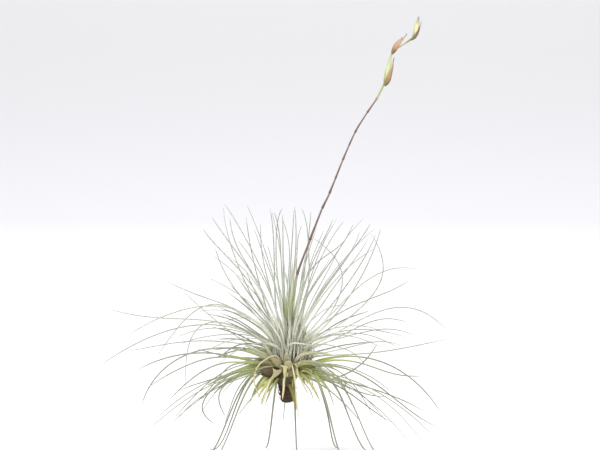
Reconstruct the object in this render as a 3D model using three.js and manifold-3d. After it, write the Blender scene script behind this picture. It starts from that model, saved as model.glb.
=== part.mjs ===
// An air plant: a round rosette of thread-fine silver leaves on a short brown stem, with olive outer
// leaves that it stands on, a few withered ones, and a spent flower spike.
// Millimetres, +Z up, the plant's front towards -Y. The parts are laid out round the crown, the
// point on the stem where the leaves meet, and the whole plant is then set on the ground.
import * as THREE from "three";
import { mergeVertices } from "three/addons/utils/BufferGeometryUtils.js";
import Module from "manifold-3d";

const wasm = await Module();
wasm.setup();

// Driving dimensions
const CROWN_HEIGHT = 39.5;
const LEAF_REACH = 70;
const LEAST_DEPTH = 12;
const GAP = 0.3;

// The eye that sees the plant from its front: its place across and over the crown, and how far in
// front of the crown it is
const EYE = { across: 3.8, up: 48.3, distance: 760 };

// The stem: a flat foot, a stump, and a slim axis that carries the whorls of leaves
const FOOT = { z: -19, radius: 2.4 };
const STUMP = { top: -12.8, radius: 3.3 };
const AXIS = { top: 9.4, radius: 1.3 };

// The whorls that the leaves grow from, one above the other on the axis
const DRY_WHORL = { bottom: -12.5, top: -9.4, radius: 4.2 };
const GREEN_WHORL = { bottom: -9.1, top: -3.8, radius: 4.8 };
const SILVER_WHORL = { bottom: -3.5, top: 9.2, radius: 6.2 };
const BRACT_WHORL = { bottom: 9.6, top: 12.6, radius: 2.4, inner: 1.4, roots: 10.6 };

// A leaf's section along its length: width and thickness of a blade with its keel below
const LEAF_SECTION = [
  { at: 0, width: 3.4, thick: 1.5 },
  { at: 0.12, width: 2.1, thick: 1.1 },
  { at: 0.35, width: 1.35, thick: 0.9 },
  { at: 1, width: 0.85, thick: 0.75 },
];
const LEAF_STEPS = 8;
const DRY_STEPS = 9;
const LEAF_ROOT_RADIUS = 3;
const LEAF_ROOM = 2.3;
const SWAY = { step: 1.5, tries: 24 };

// Leaves seen from the front, each by three points [across, up] from the crown, at a third, two
// thirds and the whole of its length
const UPRIGHT_LEAVES = [
  [[-12, 17], [-20, 33], [-24.5, 55]],
  [[-10.5, 23], [-18.5, 37.5], [-23, 51]],
  [[-12, 25.5], [-22.5, 41.5], [-30, 51.5]],
  [[-14.5, 25.5], [-24.5, 37], [-33, 46.5]],
  [[-15, 16.5], [-23, 27.5], [-28.5, 39]],
  [[-8.5, 15], [-13.5, 34], [-16.5, 51.5]],
  [[-5.5, 16], [-9.5, 32.5], [-11.5, 49]],
  [[-5.5, 20], [-6, 37], [-7.5, 54.5]],
  [[-2.5, 20.5], [-3.5, 38], [-6, 53]],
  [[-4, 23.5], [-5.5, 42.5], [-2.5, 54.5]],
  [[-2, 20], [-2.5, 37], [-3, 52.5]],
  [[-1, 20], [-0.5, 35.5], [-2.5, 51]],
  [[-0.5, 20], [0.5, 37], [1.5, 54]],
  [[0.5, 20], [2, 39], [2, 55.5]],
  [[6.5, 23], [7.5, 39.5], [3.5, 54.5]],
  [[4, 21.5], [6.5, 39], [8, 53.5]],
  [[1.5, 20.5], [3, 38], [4, 48]],
  [[4, 20], [9.5, 36], [16, 50.5]],
  [[6, 20], [15.5, 34.5], [24, 48.5]],
  [[6, 27.5], [13.5, 36.5], [21.5, 43.5]],
  [[10.5, 20], [20, 33.5], [26.5, 46]],
  [[10.5, 21], [21.5, 36], [30.5, 48.5]],
  [[12, 18], [21.5, 31], [29.5, 44]],
  [[14.5, 16.5], [24.5, 30], [33, 44.5]],
  [[16.5, 13.5], [27.5, 29.5], [34.5, 47]],
  [[21.5, 12.5], [34, 26], [30.5, 45]],
  [[17, 17.5], [19, 32], [9, 43.5]],
];
const ARCHING_LEAVES = [
  [[17.5, 16.5], [31, 28.5], [48, 31.5]],
  [[16.5, 13.5], [31, 20.5], [44.5, 27]],
  [[23, 10.5], [41.5, 17], [59.5, 8.5]],
  [[18.5, 6], [31.5, 11.5], [44.5, 12]],
  [[18.5, 5.5], [33, 8.5], [47, 6]],
  [[17.5, 1], [30, 3.5], [42, 2.5]],
  [[23.5, -0.5], [41.5, 1], [59.5, 5]],
  [[-17.5, 14.5], [-30.5, 20.5], [-46, 26]],
  [[-16.5, 3.5], [-28, 12], [-40.5, 23.5]],
  [[-21.5, 16.5], [-41.5, 16], [-61, 6.5]],
  [[-20, 15.5], [-34, 16.5], [-51, -1]],
  [[-24.5, 11], [-45.5, 13], [-68, 16]],
  [[-28, 10.5], [-51.5, 6.5], [-72.5, -5.5]],
  [[-23, 10.5], [-36, 8], [-39.5, -13]],
  [[-23.5, 4], [-42.5, 3.5], [-61, 1]],
];
const SPREADING_LEAVES = [
  [[25.5, -1.5], [44, -8.5], [57.5, -23]],
  [[21, -3], [35.5, -6.5], [50.5, -9.5]],
  [[24, -7], [40.5, -18], [56, -28.5]],
  [[20.5, -11], [35.5, -15], [50.5, -22.5]],
  [[14.5, -10], [25.5, -14.5], [36.5, -16.5]],
  [[15, -11], [26.5, -18.5], [38, -26]],
  [[13.5, -10.5], [24.5, -6.5], [33.5, 3.5]],
  [[-23.5, -1], [-40.5, -0.5], [-57, -6.5]],
  [[-26, 2], [-45, -4], [-56, -20]],
  [[-22, -2], [-38, -4], [-54, -13.5]],
  [[-21, -3.5], [-33, -7], [-45.5, -18]],
  [[-18, -4], [-26, -8], [-37, -20]],
  [[-19, -7], [-31, -10.5], [-42, -15]],
  [[-20, -8.5], [-32, -16.5], [-28.5, -27.5]],
  [[-18, -8.5], [-26, -15], [-25, -24.5]],
];

// Leaves that fill the sides, front and back: how many, the sector they share round the stem
// (degrees from the plant's right, counted towards its back), the angle that they rise at from
// root to tip, and their length
const SILVER_FILL = [
  { count: 3, from: 222, to: 256, rise: [70, 44], length: 56 },
  { count: 3, from: 286, to: 320, rise: [70, 44], length: 56 },
  { count: 5, from: 225, to: 315, rise: [46, 14], length: 62 },
  { count: 3, from: 220, to: 246, rise: [26, -20], length: 58 },
  { count: 3, from: 294, to: 320, rise: [26, -20], length: 58 },
  { count: 3, from: 55, to: 125, rise: [78, 56], length: 50 },
  { count: 7, from: 42, to: 138, rise: [55, 20], length: 62 },
  { count: 8, from: 38, to: 142, rise: [30, -12], length: 62 },
];
const GREEN_FILL = [
  { count: 8, from: 40, to: 140, rise: [8, -34], length: 60 },
  { count: 5, from: 48, to: 132, rise: [-18, -38], length: 44 },
  { count: 3, from: 218, to: 242, rise: [18, -56], length: 50 },
  { count: 3, from: 292, to: 312, rise: [18, -56], length: 50 },
  { count: 4, from: 196, to: 226, rise: [2, -40], length: 56 },
  { count: 4, from: 312, to: 340, rise: [2, -40], length: 56 },
];

// Leaves that hang to the ground and bear the plant: the way each one leaves the stem, in degrees
// as above, and how far from the stem its tip lies
const BEARING_LEAVES = [
  { toward: 310, reach: 34 },
  { toward: 336, reach: 41 },
  { toward: 14, reach: 33 },
  { toward: 56, reach: 36 },
  { toward: 82, reach: 20 },
  { toward: 108, reach: 32 },
  { toward: 146, reach: 38 },
  { toward: 190, reach: 34 },
  { toward: 220, reach: 37 },
];
const HANGING_CURVE = [[0.52, 0.3], [0.76, 0.76], [1, 1]];

// Withered leaves below the rosette, by points [across, behind, up] from the crown
const DRY_LEAVES = [
  [
    [-2.4, -6.6, -9.8], [-2.6, -8.4, -6.2], [-4.3, -9.6, -1.6], [-6.7, -10.6, -0.8],
    [-9.2, -11.4, -2.1], [-11.6, -12.2, -4], [-13, -12.8, -6.7], [-13.4, -13.1, -10],
    [-12.3, -13.3, -13.9], [-10.4, -13.5, -17.4],
  ],
  [
    [-2.9, -6.2, -10.6], [-3.6, -7.8, -8.6], [-5.1, -9, -6.9], [-6.9, -9.8, -9.1], [-8.3, -10.4, -12],
    [-10.4, -11.2, -19],
  ],
  [
    [-1.2, -6.4, -10.4], [-1.6, -8.2, -7.4], [-1.8, -9.2, -5.5], [-2.1, -9.8, -8.8],
    [-2.5, -10.2, -13.9], [-2.6, -10.4, -17.1],
  ],
  [
    [-0.2, -6.4, -10.4], [-1.2, -9.2, -6], [-1.5, -10.2, -3.3], [0.1, -10.8, -2.8], [1, -11.2, -4.6],
    [1.9, -11.8, -9.7], [2.4, -12.2, -15.2], [3.6, -12.8, -24.7],
  ],
  [
    [2.2, -5.8, -10.6], [2.2, -7.6, -8], [2.6, -8.8, -5.6], [3, -9.4, -7.9], [4.3, -9.9, -10.1],
    [6.6, -10.6, -14.7],
  ],
  [[5, 4.5, -10.8], [9, 7, -10], [14, 10, -14], [17, 13, -22]],
  [[-4.5, 5, -10.8], [-8, 8.5, -9.5], [-12, 12, -13], [-16, 15, -21]],
];
const DRY_ROOT = { radius: 2.6, z: -11 };
const DRY_SECTION = [
  { at: 0, width: 2.6, thick: 1 },
  { at: 0.3, width: 1.9, thick: 0.8 },
  { at: 1, width: 0.8, thick: 0.65 },
];

// Small fresh leaves that hug the foot of the spike, by points [across, behind, up] from the crown
// at a third, two thirds and the whole of their length
const BRACT_LEAVES = [
  [[-1.6, -2.3, 16.5], [-2.4, -2.8, 23.5], [-3.2, -2.8, 30.5]],
  [[0.2, -2.8, 17.5], [0.6, -3, 23.5], [1.4, -2.8, 28.5]],
  [[2.3, -2, 17], [3.4, -2.6, 22], [4.7, -2.8, 26]],
  [[2.8, 1.6, 18], [4.8, 2.6, 26], [6.4, 3.2, 32]],
  [[0.3, 2.7, 18], [0.6, 3.2, 27], [1, 3.2, 34]],
  [[-2.2, 1.8, 18], [-2.3, 2.4, 27], [-1.8, 2.6, 35.5]],
  [[-2.9, -0.4, 16.5], [-4, -0.6, 23], [-4.6, -0.4, 29]],
];
const BRACT_SECTION = [
  { at: 0, width: 1.5, thick: 0.8 },
  { at: 0.25, width: 1.5, thick: 0.8 },
  { at: 1, width: 0.7, thick: 0.65 },
];

// The spike's stalk, by points [across, behind, up] from the crown, and its bract joints as
// shares of the stalk's length
const STALK_POINTS = [
  [0, 0, 9.7], [0.4, 0, 18], [1.6, 0, 24], [3.2, 0.2, 31], [7.6, 0.8, 42.6], [12.2, 1.4, 54.5],
  [15, 1.8, 60.3], [20.1, 2.4, 73], [24.8, 3, 83.6], [29.4, 3.4, 91.1], [33, 3.7, 96.4],
  [36, 3.9, 102.2],
];
const STALK_STEPS = 50;
const STALK_ROOM = 2.5;
const STALK_JOINTS = [0.36, 0.5, 0.56, 0.7, 0.82, 0.92];
const STALK_RADIUS = { foot: 1, middle: 0.6, top: 0.42, joint: 0.78 };
const RACHIS_POINTS = [
  [36, 3.9, 102.2], [36.2, 4.8, 104], [37, 5.6, 107], [38, 5.6, 111], [39, 5.6, 113.8],
  [40.4, 5.6, 115.4], [42.3, 5.2, 116.6], [45.4, 4.4, 118.7], [46.2, 4.2, 119.3],
];
const RACHIS_RADIUS = 0.42;

// Withered flowers of the spike: folded bracts and the pale calyces behind them, each by its
// middle line [across, behind, up] from the crown and its widest breadth
const PETAL_TIP_RADIUS = 0.32;
const PETALS = [
  {
    name: "lower_bract",
    line: [[36.9, 2.9, 102.5], [38.2, 2.2, 105], [38.7, 2.1, 107.7], [39.2, 2.3, 110.2], [39.5, 2.5, 111.8]],
    breadth: 1.9,
    colour: 0x8d5f3c,
  },
  {
    name: "lower_calyx",
    line: [[36.5, 3.9, 103.8], [37.2, 3.9, 107.7], [37.8, 4, 110], [38.5, 4.1, 112.6]],
    breadth: 2.2,
    colour: 0xd3d79c,
  },
  {
    name: "middle_bract",
    line: [[39.5, 4.4, 114.4], [40.9, 4.1, 116.9], [42.8, 4, 119.2], [44.6, 4.1, 121.1]],
    breadth: 2.1,
    colour: 0xa06a45,
  },
  {
    name: "upper_bract",
    line: [[47, 4, 119.6], [48.1, 3.9, 120.6], [49.4, 3.9, 122.2], [50, 3.9, 124], [50.5, 3.9, 126.6]],
    breadth: 1.4,
    colour: 0x6f6a33,
  },
  {
    name: "upper_calyx",
    line: [[46.6, 4.6, 120.3], [46.9, 4.5, 122], [47.4, 4.4, 124], [49, 4.3, 127.3]],
    breadth: 1.7,
    colour: 0xe0d8a4,
  },
];

const COLOURS = {
  stem: 0x6b5631,
  dry: 0xd8c99a,
  green: 0x8f9c50,
  silver: 0xa3a99b,
  bracts: 0x93ab5c,
  stalk: 0x8a5a4a,
};

// Random draws with a fixed start, so that the plant is the same every time
function randomDraws(seed) {
  let state = seed;
  return () => {
    state = (state * 16807) % 2147483647;
    return state / 2147483647;
  };
}

function toSolid(geometry) {
  const bare = geometry.index ? geometry.clone() : mergeVertices(geometry);
  bare.deleteAttribute("normal");
  bare.deleteAttribute("uv");
  const merged = mergeVertices(bare, 1e-4);
  const mesh = new wasm.Mesh({
    numProp: 3,
    vertProperties: new Float32Array(merged.attributes.position.array),
    triVerts: new Uint32Array(merged.index.array),
  });
  return new wasm.Manifold(mesh);
}

function toGeometry(solid) {
  const mesh = solid.getMesh();
  const geometry = new THREE.BufferGeometry();
  geometry.setAttribute("position", new THREE.BufferAttribute(mesh.vertProperties.slice(), 3));
  geometry.setIndex(new THREE.BufferAttribute(mesh.triVerts.slice(), 1));
  geometry.computeVertexNormals();
  return geometry;
}

// One body out of many that touch: the largest outer body, with any sealed hollow filled and any
// loose scrap dropped
function fuse(solids) {
  const pieces = wasm.Manifold.union(solids).decompose();
  return pieces.reduce((best, piece) => (piece.volume() > best.volume() ? piece : best));
}

// A solid of revolution round the stem, from [radius, height] points that run up its outside
function turned(profile, sides) {
  const points = profile.map(([radius, z]) => new THREE.Vector2(radius, z));
  const geometry = new THREE.LatheGeometry(points, sides);
  geometry.rotateX(Math.PI / 2);
  return toSolid(geometry);
}

// A cylinder bent along a path: pathAt gives a point for a share of the length, and sectionAt the
// offset of a point of the rim, [across, upward], for that share and the angle round the rim
function bent(pathAt, sectionAt, sides, steps, sideways) {
  const geometry = new THREE.CylinderGeometry(1, 1, 1, sides, steps);
  const position = geometry.attributes.position;
  const frames = pathFrames(pathAt, steps, sideways);
  for (let i = 0; i < position.count; i += 1) {
    const share = position.getY(i) + 0.5;
    const frame = frames[Math.round(share * steps)];
    const onAxis = Math.hypot(position.getX(i), position.getZ(i)) < 0.5;
    const angle = Math.atan2(position.getX(i), position.getZ(i));
    const [across, upward] = onAxis ? [0, 0] : sectionAt(share, angle);
    const point = frame.point.clone();
    point.addScaledVector(frame.across, across);
    point.addScaledVector(frame.upward, upward);
    position.setXYZ(i, point.x, point.y, point.z);
  }
  return toSolid(geometry);
}

// Points along a path, each with a direction across it and one away from the ground side, which
// turn as little as they can from one point to the next
function pathFrames(pathAt, steps, sideways) {
  const frames = [];
  let across = sideways.clone().normalize();
  for (let i = 0; i <= steps; i += 1) {
    const before = pathAt(Math.max(0, (i - 0.5) / steps));
    const after = pathAt(Math.min(1, (i + 0.5) / steps));
    const ahead = after.sub(before).normalize();
    across = across.clone().addScaledVector(ahead, -across.dot(ahead)).normalize();
    frames.push({ point: pathAt(i / steps), across, upward: ahead.clone().cross(across) });
  }
  return frames;
}

// The cubic through four points at 0, 1/3, 2/3 and 1 of its length
function cubicThrough(points) {
  return (share) => {
    const t = share * 3;
    const weights = [
      (-(t - 1) * (t - 2) * (t - 3)) / 6,
      (t * (t - 2) * (t - 3)) / 2,
      (-t * (t - 1) * (t - 3)) / 2,
      (t * (t - 1) * (t - 2)) / 6,
    ];
    const point = new THREE.Vector3();
    points.forEach((corner, i) => point.addScaledVector(corner, weights[i]));
    return point;
  };
}

function between(from, to, share) {
  return from + (to - from) * share;
}

// A value from a list of stations, each with its place "at" along the length, straight between them
function along(stations, key, share) {
  const last = stations.length - 1;
  let i = 0;
  while (i < last - 1 && stations[i + 1].at < share) {
    i += 1;
  }
  const [low, high] = [stations[i], stations[i + 1]];
  return between(low[key], high[key], (share - low.at) / (high.at - low.at));
}

function compass(degrees) {
  const angle = THREE.MathUtils.degToRad(degrees);
  return new THREE.Vector3(Math.cos(angle), Math.sin(angle), 0);
}

// The steeper a leaf climbs, the higher on its whorl it grows
function rootHeight(whorl, climb) {
  const share = (climb - whorl.climb[0]) / (whorl.climb[1] - whorl.climb[0]);
  return between(whorl.roots[0], whorl.roots[1], THREE.MathUtils.clamp(share, 0, 1));
}

// A leaf is its four path points, the level way across its root, and the way it may sway
function makeLeaf(whorl, stations, sway) {
  const flat = new THREE.Vector3(stations[0].x, stations[0].y, 0);
  const outward = flat.clone().normalize();
  const climb = THREE.MathUtils.radToDeg(Math.atan2(stations[0].z, flat.length()));
  const root = outward.clone().multiplyScalar(LEAF_ROOT_RADIUS);
  root.z = rootHeight(whorl, climb);
  return {
    points: [root, ...stations],
    outward,
    sideways: new THREE.Vector3(-outward.y, outward.x, 0),
    sway,
  };
}

// Where a point lies that is seen at a place in the view, at a depth behind the crown
function seenFromFront(across, up, depth) {
  const growth = 1 + depth / EYE.distance;
  const x = EYE.across + (across - EYE.across) * growth;
  return new THREE.Vector3(x, depth, EYE.up + (up - EYE.up) * growth);
}

// How far across the stalk is at a height
function stalkAcross(up) {
  const last = STALK_POINTS.length - 1;
  let i = 0;
  while (i < last - 1 && STALK_POINTS[i + 1][2] < up) {
    i += 1;
  }
  const [low, high] = [STALK_POINTS[i], STALK_POINTS[i + 1]];
  return between(low[0], high[0], THREE.MathUtils.clamp((up - low[2]) / (high[2] - low[2]), 0, 1));
}

// A leaf seen from the front: what it lacks in reach across the view, it may have in depth. One
// that comes near the stalk in the view lies behind it, and others lie behind and in front by turns.
function leafFromFront(whorl, stations, i, draw) {
  const nearStalk = stations.some(([x, z]) => Math.abs(x - stalkAcross(z)) < STALK_ROOM);
  const side = nearStalk || i % 2 === 0 ? 1 : -1;
  const [across, up] = stations[2];
  const hidden = Math.sqrt(Math.max(LEAST_DEPTH ** 2, LEAF_REACH ** 2 - across ** 2 - up ** 2));
  const depth = side * hidden * between(0.25, 1.05, draw());
  const points = stations.map(([x, z], k) => seenFromFront(x, z, depth * ((k + 1) / 3)));
  return makeLeaf(whorl, points, new THREE.Vector3(0, 1, 0));
}

// A leaf whose climb changes evenly from root to tip
function leafByRise(whorl, degrees, rise, length) {
  const outward = compass(degrees);
  const [start, end] = rise.map((angle) => THREE.MathUtils.degToRad(angle));
  const stations = [1 / 3, 2 / 3, 1].map((share) => {
    const here = between(start, end, share);
    const out = (length * (Math.sin(here) - Math.sin(start))) / (end - start);
    const up = (-length * (Math.cos(here) - Math.cos(start))) / (end - start);
    const point = outward.clone().multiplyScalar(LEAF_ROOT_RADIUS + out);
    point.z = up + rootHeight(whorl, rise[0]);
    return point;
  });
  return makeLeaf(whorl, stations, new THREE.Vector3(-outward.y, outward.x, 0));
}

function fillLeaves(whorl, groups, draw) {
  return groups.flatMap((group) => {
    const step = (group.to - group.from) / group.count;
    return Array.from({ length: group.count }, (_, i) => {
      const degrees = group.from + step * (i + 0.15 + 0.7 * draw());
      const shift = (draw() - 0.5) * 14;
      const rise = group.rise.map((angle) => angle + shift);
      return leafByRise(whorl, degrees, rise, group.length * (0.88 + 0.24 * draw()));
    });
  });
}

// A leaf that leaves the stem level, hangs over, and lies along the ground at its tip
function bearingLeaf(whorl, { toward, reach }) {
  const outward = compass(toward);
  const stations = HANGING_CURVE.map(([out, down]) => {
    const point = outward.clone().multiplyScalar(reach * out);
    point.z = -CROWN_HEIGHT * down;
    return point;
  });
  return makeLeaf(whorl, stations, new THREE.Vector3(-outward.y, outward.x, 0));
}

// How close a leaf comes to the sampled points, outside the bulb that hides its root
function clearance(leaf, samples) {
  const pathAt = cubicThrough(leaf.points);
  let least = Infinity;
  for (let i = 2; i <= 24; i += 1) {
    const point = pathAt(i / 24);
    for (const other of samples) {
      least = Math.min(least, point.distanceToSquared(other));
    }
  }
  return Math.sqrt(least);
}

function samplePath(pathAt) {
  return Array.from({ length: 47 }, (_, i) => pathAt((i + 2) / 48));
}

// Points along straight lines from each given point to the next, eight to a line
function sampleLines(points) {
  const ends = points.map((point) => new THREE.Vector3(...point));
  const samples = ends.slice(1).flatMap((stop, i) => (
    Array.from({ length: 8 }, (_, k) => ends[i].clone().lerp(stop, k / 8))
  ));
  return [...samples, ends.at(-1)];
}

// Sways a leaf to one side and the other, further each time, until it is clear of what is there
function swayClear(leaf, samples, room) {
  for (let step = 0; step < SWAY.tries; step += 1) {
    const shift = (step % 2 ? -1 : 1) * Math.ceil(step / 2) * SWAY.step;
    const points = leaf.points.map((point, i) => point.clone().addScaledVector(leaf.sway, (shift * i) / 3));
    const moved = { ...leaf, points };
    if (clearance(moved, samples) > room) {
      return moved;
    }
  }
  return leaf;
}

// Lets a hanging leaf down until its tip just touches the ground
function setDown(leaf) {
  const drop = leafSolid(leaf, LEAF_SECTION).boundingBox().min[2] + CROWN_HEIGHT;
  const points = leaf.points.map((point, i) => point.clone().setZ(point.z - (drop * i) / 3));
  return { ...leaf, points };
}

// A three-sided blade: flat above, with a keel below
function bladeSection(section) {
  return (share, angle) => {
    const width = along(section, "width", share);
    const thick = along(section, "thick", share);
    return [(Math.sin(angle) * width) / Math.sqrt(3), (-Math.cos(angle) * thick) / 1.5];
  };
}

function leafSolid(leaf, section) {
  return bent(cubicThrough(leaf.points), bladeSection(section), 3, LEAF_STEPS, leaf.sideways);
}

// A swollen ring on the axis that a whorl's leaves grow from
function whorlSolid({ bottom, top, radius }) {
  const inner = AXIS.radius + GAP;
  const profile = [
    [inner, bottom], [radius * 0.8, bottom], [radius, between(bottom, top, 0.3)],
    [radius * 0.85, between(bottom, top, 0.65)], [Math.max(inner + 0.6, radius * 0.45), top],
    [inner, top], [inner, bottom],
  ];
  return turned(profile, 14);
}

function stemSolid() {
  const profile = [
    [0, FOOT.z], [FOOT.radius, FOOT.z], [STUMP.radius, FOOT.z + 1.4], [STUMP.radius * 0.82, FOOT.z + 3.4],
    [STUMP.radius, STUMP.top - 1], [STUMP.radius * 0.8, STUMP.top], [AXIS.radius, STUMP.top],
    [AXIS.radius, AXIS.top], [0, AXIS.top],
  ];
  return turned(profile, 14);
}

function curveThrough(points) {
  const curve = new THREE.CatmullRomCurve3(points.map((point) => new THREE.Vector3(...point)));
  return (share) => curve.getPointAt(THREE.MathUtils.clamp(share, 0, 1));
}

function stalkRadius(share) {
  const { foot, middle, top, joint } = STALK_RADIUS;
  const plain = share < 0.3 ? between(foot, middle, share / 0.3) : between(middle, top, (share - 0.3) / 0.7);
  const nearest = Math.min(...STALK_JOINTS.map((at) => Math.abs(at - share)));
  return nearest < 0.3 / STALK_STEPS ? Math.max(plain, joint * (1 - 0.25 * share)) : plain;
}

function roundSection(radiusAt) {
  return (share, angle) => [Math.sin(angle) * radiusAt(share), -Math.cos(angle) * radiusAt(share)];
}

function spikeSolid() {
  const right = new THREE.Vector3(0, 1, 0);
  const stalk = bent(curveThrough(STALK_POINTS), roundSection(stalkRadius), 6, STALK_STEPS, right);
  const rachis = bent(curveThrough(RACHIS_POINTS), roundSection(() => RACHIS_RADIUS), 6, 14, right);
  return fuse([stalk, rachis]);
}

// A bract or calyx: a boat shape, full below its middle and drawn out to a fine tip
function petalSolid({ line, breadth }) {
  const sectionAt = (share, angle) => {
    const swell = Math.sin(Math.PI * (0.12 + 0.88 * share ** 0.8));
    const radius = Math.max(PETAL_TIP_RADIUS, (breadth / 2) * swell);
    return [Math.sin(angle) * radius * 0.75, -Math.cos(angle) * radius];
  };
  return bent(curveThrough(line), sectionAt, 6, 10, new THREE.Vector3(0, 1, 0));
}

// The leaves of each whorl, cleared of one another
function growLeaves() {
  const draw = randomDraws(2718);
  const silver = { roots: [-2.4, 6.4], climb: [-10, 85] };
  const green = { roots: [-8, -4.9], climb: [-45, 15] };
  const silverLeaves = [
    ...UPRIGHT_LEAVES.map((stations, i) => leafFromFront(silver, stations, i, draw)),
    ...ARCHING_LEAVES.map((stations, i) => leafFromFront(silver, stations, i, draw)),
    ...fillLeaves(silver, SILVER_FILL, draw),
  ];
  const bearing = BEARING_LEAVES.map((leaf) => bearingLeaf(green, leaf));
  const greenLeaves = [
    ...SPREADING_LEAVES.map((stations, i) => leafFromFront(green, stations, i, draw)),
    ...fillLeaves(green, GREEN_FILL, draw),
  ];
  const taken = [STALK_POINTS, ...BRACT_LEAVES].flatMap(sampleLines);
  const clearSilver = silverLeaves.map((leaf) => swayClear(leaf, taken, LEAF_ROOM));
  clearSilver.forEach((leaf) => taken.push(...samplePath(cubicThrough(leaf.points))));
  DRY_LEAVES.forEach((points) => taken.push(...sampleLines(points)));
  const clearBearing = bearing.map((leaf) => setDown(setDown(swayClear(leaf, taken, LEAF_ROOM))));
  const clearGreen = greenLeaves.map((leaf) => swayClear(leaf, taken, LEAF_ROOM));
  return { silver: clearSilver, green: [...clearBearing, ...clearGreen] };
}

// A withered leaf's root lies in its whorl, below its first point
function dryLeafPath(points) {
  const first = new THREE.Vector3(...points[0]);
  const root = new THREE.Vector3(first.x, first.y, 0).setLength(DRY_ROOT.radius).setZ(DRY_ROOT.z);
  return curveThrough([root.toArray(), ...points]);
}

function dryLeavesSolid() {
  const blades = DRY_LEAVES.map((points) => {
    const [x, y] = points[0];
    const sideways = new THREE.Vector3(-y, x, 0);
    return bent(dryLeafPath(points), bladeSection(DRY_SECTION), 3, DRY_STEPS, sideways);
  });
  return fuse([whorlSolid(DRY_WHORL), ...blades]);
}

function headSolid(whorl, leaves) {
  const blades = leaves.map((leaf) => leafSolid(leaf, LEAF_SECTION));
  return fuse([whorlSolid(whorl), ...blades]);
}

// The small leaves round the foot of the spike rise from a ring that the stalk stands in
function bractLeavesSolid() {
  const { bottom, top, radius, inner, roots } = BRACT_WHORL;
  const ring = turned([[inner, bottom], [radius, bottom], [radius, top], [inner, top], [inner, bottom]], 12);
  const blades = BRACT_LEAVES.map((points) => {
    const stations = points.map((point) => new THREE.Vector3(...point));
    const outward = stations[0].clone().setZ(0).normalize();
    const root = outward.clone().multiplyScalar(between(inner, radius, 0.6)).setZ(roots);
    const sideways = new THREE.Vector3(-outward.y, outward.x, 0);
    return leafSolid({ points: [root, ...stations], sideways }, BRACT_SECTION);
  });
  return fuse([ring, ...blades]);
}

const plant = new THREE.Group();

function addPart(name, solid, colour, roughness) {
  const material = new THREE.MeshStandardMaterial({ color: colour, roughness, metalness: 0 });
  const mesh = new THREE.Mesh(toGeometry(solid), material);
  mesh.name = name;
  plant.add(mesh);
}

const leaves = growLeaves();
addPart("stem", stemSolid(), COLOURS.stem, 0.9);
addPart("dry_leaves", dryLeavesSolid(), COLOURS.dry, 0.8);
addPart("green_leaves", headSolid(GREEN_WHORL, leaves.green), COLOURS.green, 0.75);
addPart("silver_leaves", headSolid(SILVER_WHORL, leaves.silver), COLOURS.silver, 0.85);
addPart("bract_leaves", bractLeavesSolid(), COLOURS.bracts, 0.75);
addPart("spike", spikeSolid(), COLOURS.stalk, 0.6);
PETALS.forEach((petal) => addPart(petal.name, petalSolid(petal), petal.colour, 0.6));

// The plant stands on its lowest leaf tips, with its origin below its middle
const box = new THREE.Box3().setFromObject(plant);
const middle = box.getCenter(new THREE.Vector3());
plant.position.set(-middle.x, -middle.y, -box.min.z);

export default plant;
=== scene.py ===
"""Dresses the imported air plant: fine channelled leaves, a fibrous stump and a withered flower spike.

The plant's parts are laid out round its crown, in millimetres, as [across, behind, up], and then
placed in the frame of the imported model, in metres.
"""

import logging
import math
from dataclasses import dataclass, field
from enum import Enum
from typing import Callable, Iterable, Sequence

import bpy
import numpy as np
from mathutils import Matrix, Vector


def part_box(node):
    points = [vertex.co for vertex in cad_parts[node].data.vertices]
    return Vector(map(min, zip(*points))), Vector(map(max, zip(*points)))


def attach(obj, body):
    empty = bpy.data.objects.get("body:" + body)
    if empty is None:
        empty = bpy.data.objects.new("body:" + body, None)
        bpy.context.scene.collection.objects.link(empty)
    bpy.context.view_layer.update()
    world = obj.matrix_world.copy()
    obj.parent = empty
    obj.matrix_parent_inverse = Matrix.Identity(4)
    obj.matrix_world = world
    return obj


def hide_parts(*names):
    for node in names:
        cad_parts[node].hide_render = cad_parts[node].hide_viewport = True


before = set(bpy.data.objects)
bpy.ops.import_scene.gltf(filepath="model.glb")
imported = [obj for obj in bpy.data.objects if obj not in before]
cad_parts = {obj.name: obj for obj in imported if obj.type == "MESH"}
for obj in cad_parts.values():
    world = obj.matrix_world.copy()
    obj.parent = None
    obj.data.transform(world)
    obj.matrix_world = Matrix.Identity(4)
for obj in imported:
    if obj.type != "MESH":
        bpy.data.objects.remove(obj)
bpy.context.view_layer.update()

log = logging.getLogger("air_plant")

Pair = tuple[float, float]
Point = tuple[float, float, float]
Colour = tuple[float, float, float]
Socket = bpy.types.NodeSocket
Stops = tuple[tuple[float, Colour], ...]
Stations = Sequence[tuple[float, float]]
FrontView = tuple[tuple[float, float], ...]
Bend = tuple[tuple[float, float], ...]
Path = Callable[[float], Vector]

MM = 0.001

# How the leaves are laid out round the crown, by the same measures as the solids, mm
CROWN_HEIGHT = 39.5
LEAF_ROOT_RADIUS = 3.0
LEAF_REACH = 70.0
LEAST_DEPTH = 12.0
DEPTH_SHARES = (0.25, 1.05)
LEAF_ROOM = 2.3
STALK_ROOM = 2.5
SWAY_STEP = 1.5
SWAY_TRIES = 24
GROWTH_SEED = 2718

# How the filling leaves differ: their place in a slot and their length, as shares, each from a
# start over a span, and the spread of their climb, degrees
SLOT_START = 0.15
SLOT_SPAN = 0.7
FILL_LENGTHS = (0.88, 0.24)
CLIMB_SPREAD = 14

# How high over the surface the tip of a carrying leaf lies in the solids, and here, mm
TIP_LIFT = 0.45
TIP_REST = 0.12

# How many points a leaf, a straight line and a smooth path's stretch between two points are cut into
LEAF_SAMPLES = 24
LINE_SAMPLES = 8
CURVE_STEPS = 16

# The turn from one leaf base to the next, degrees, and the span that a wave's phase is drawn from
GOLDEN_TURN = 137.5
PHASES = 6.3

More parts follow.
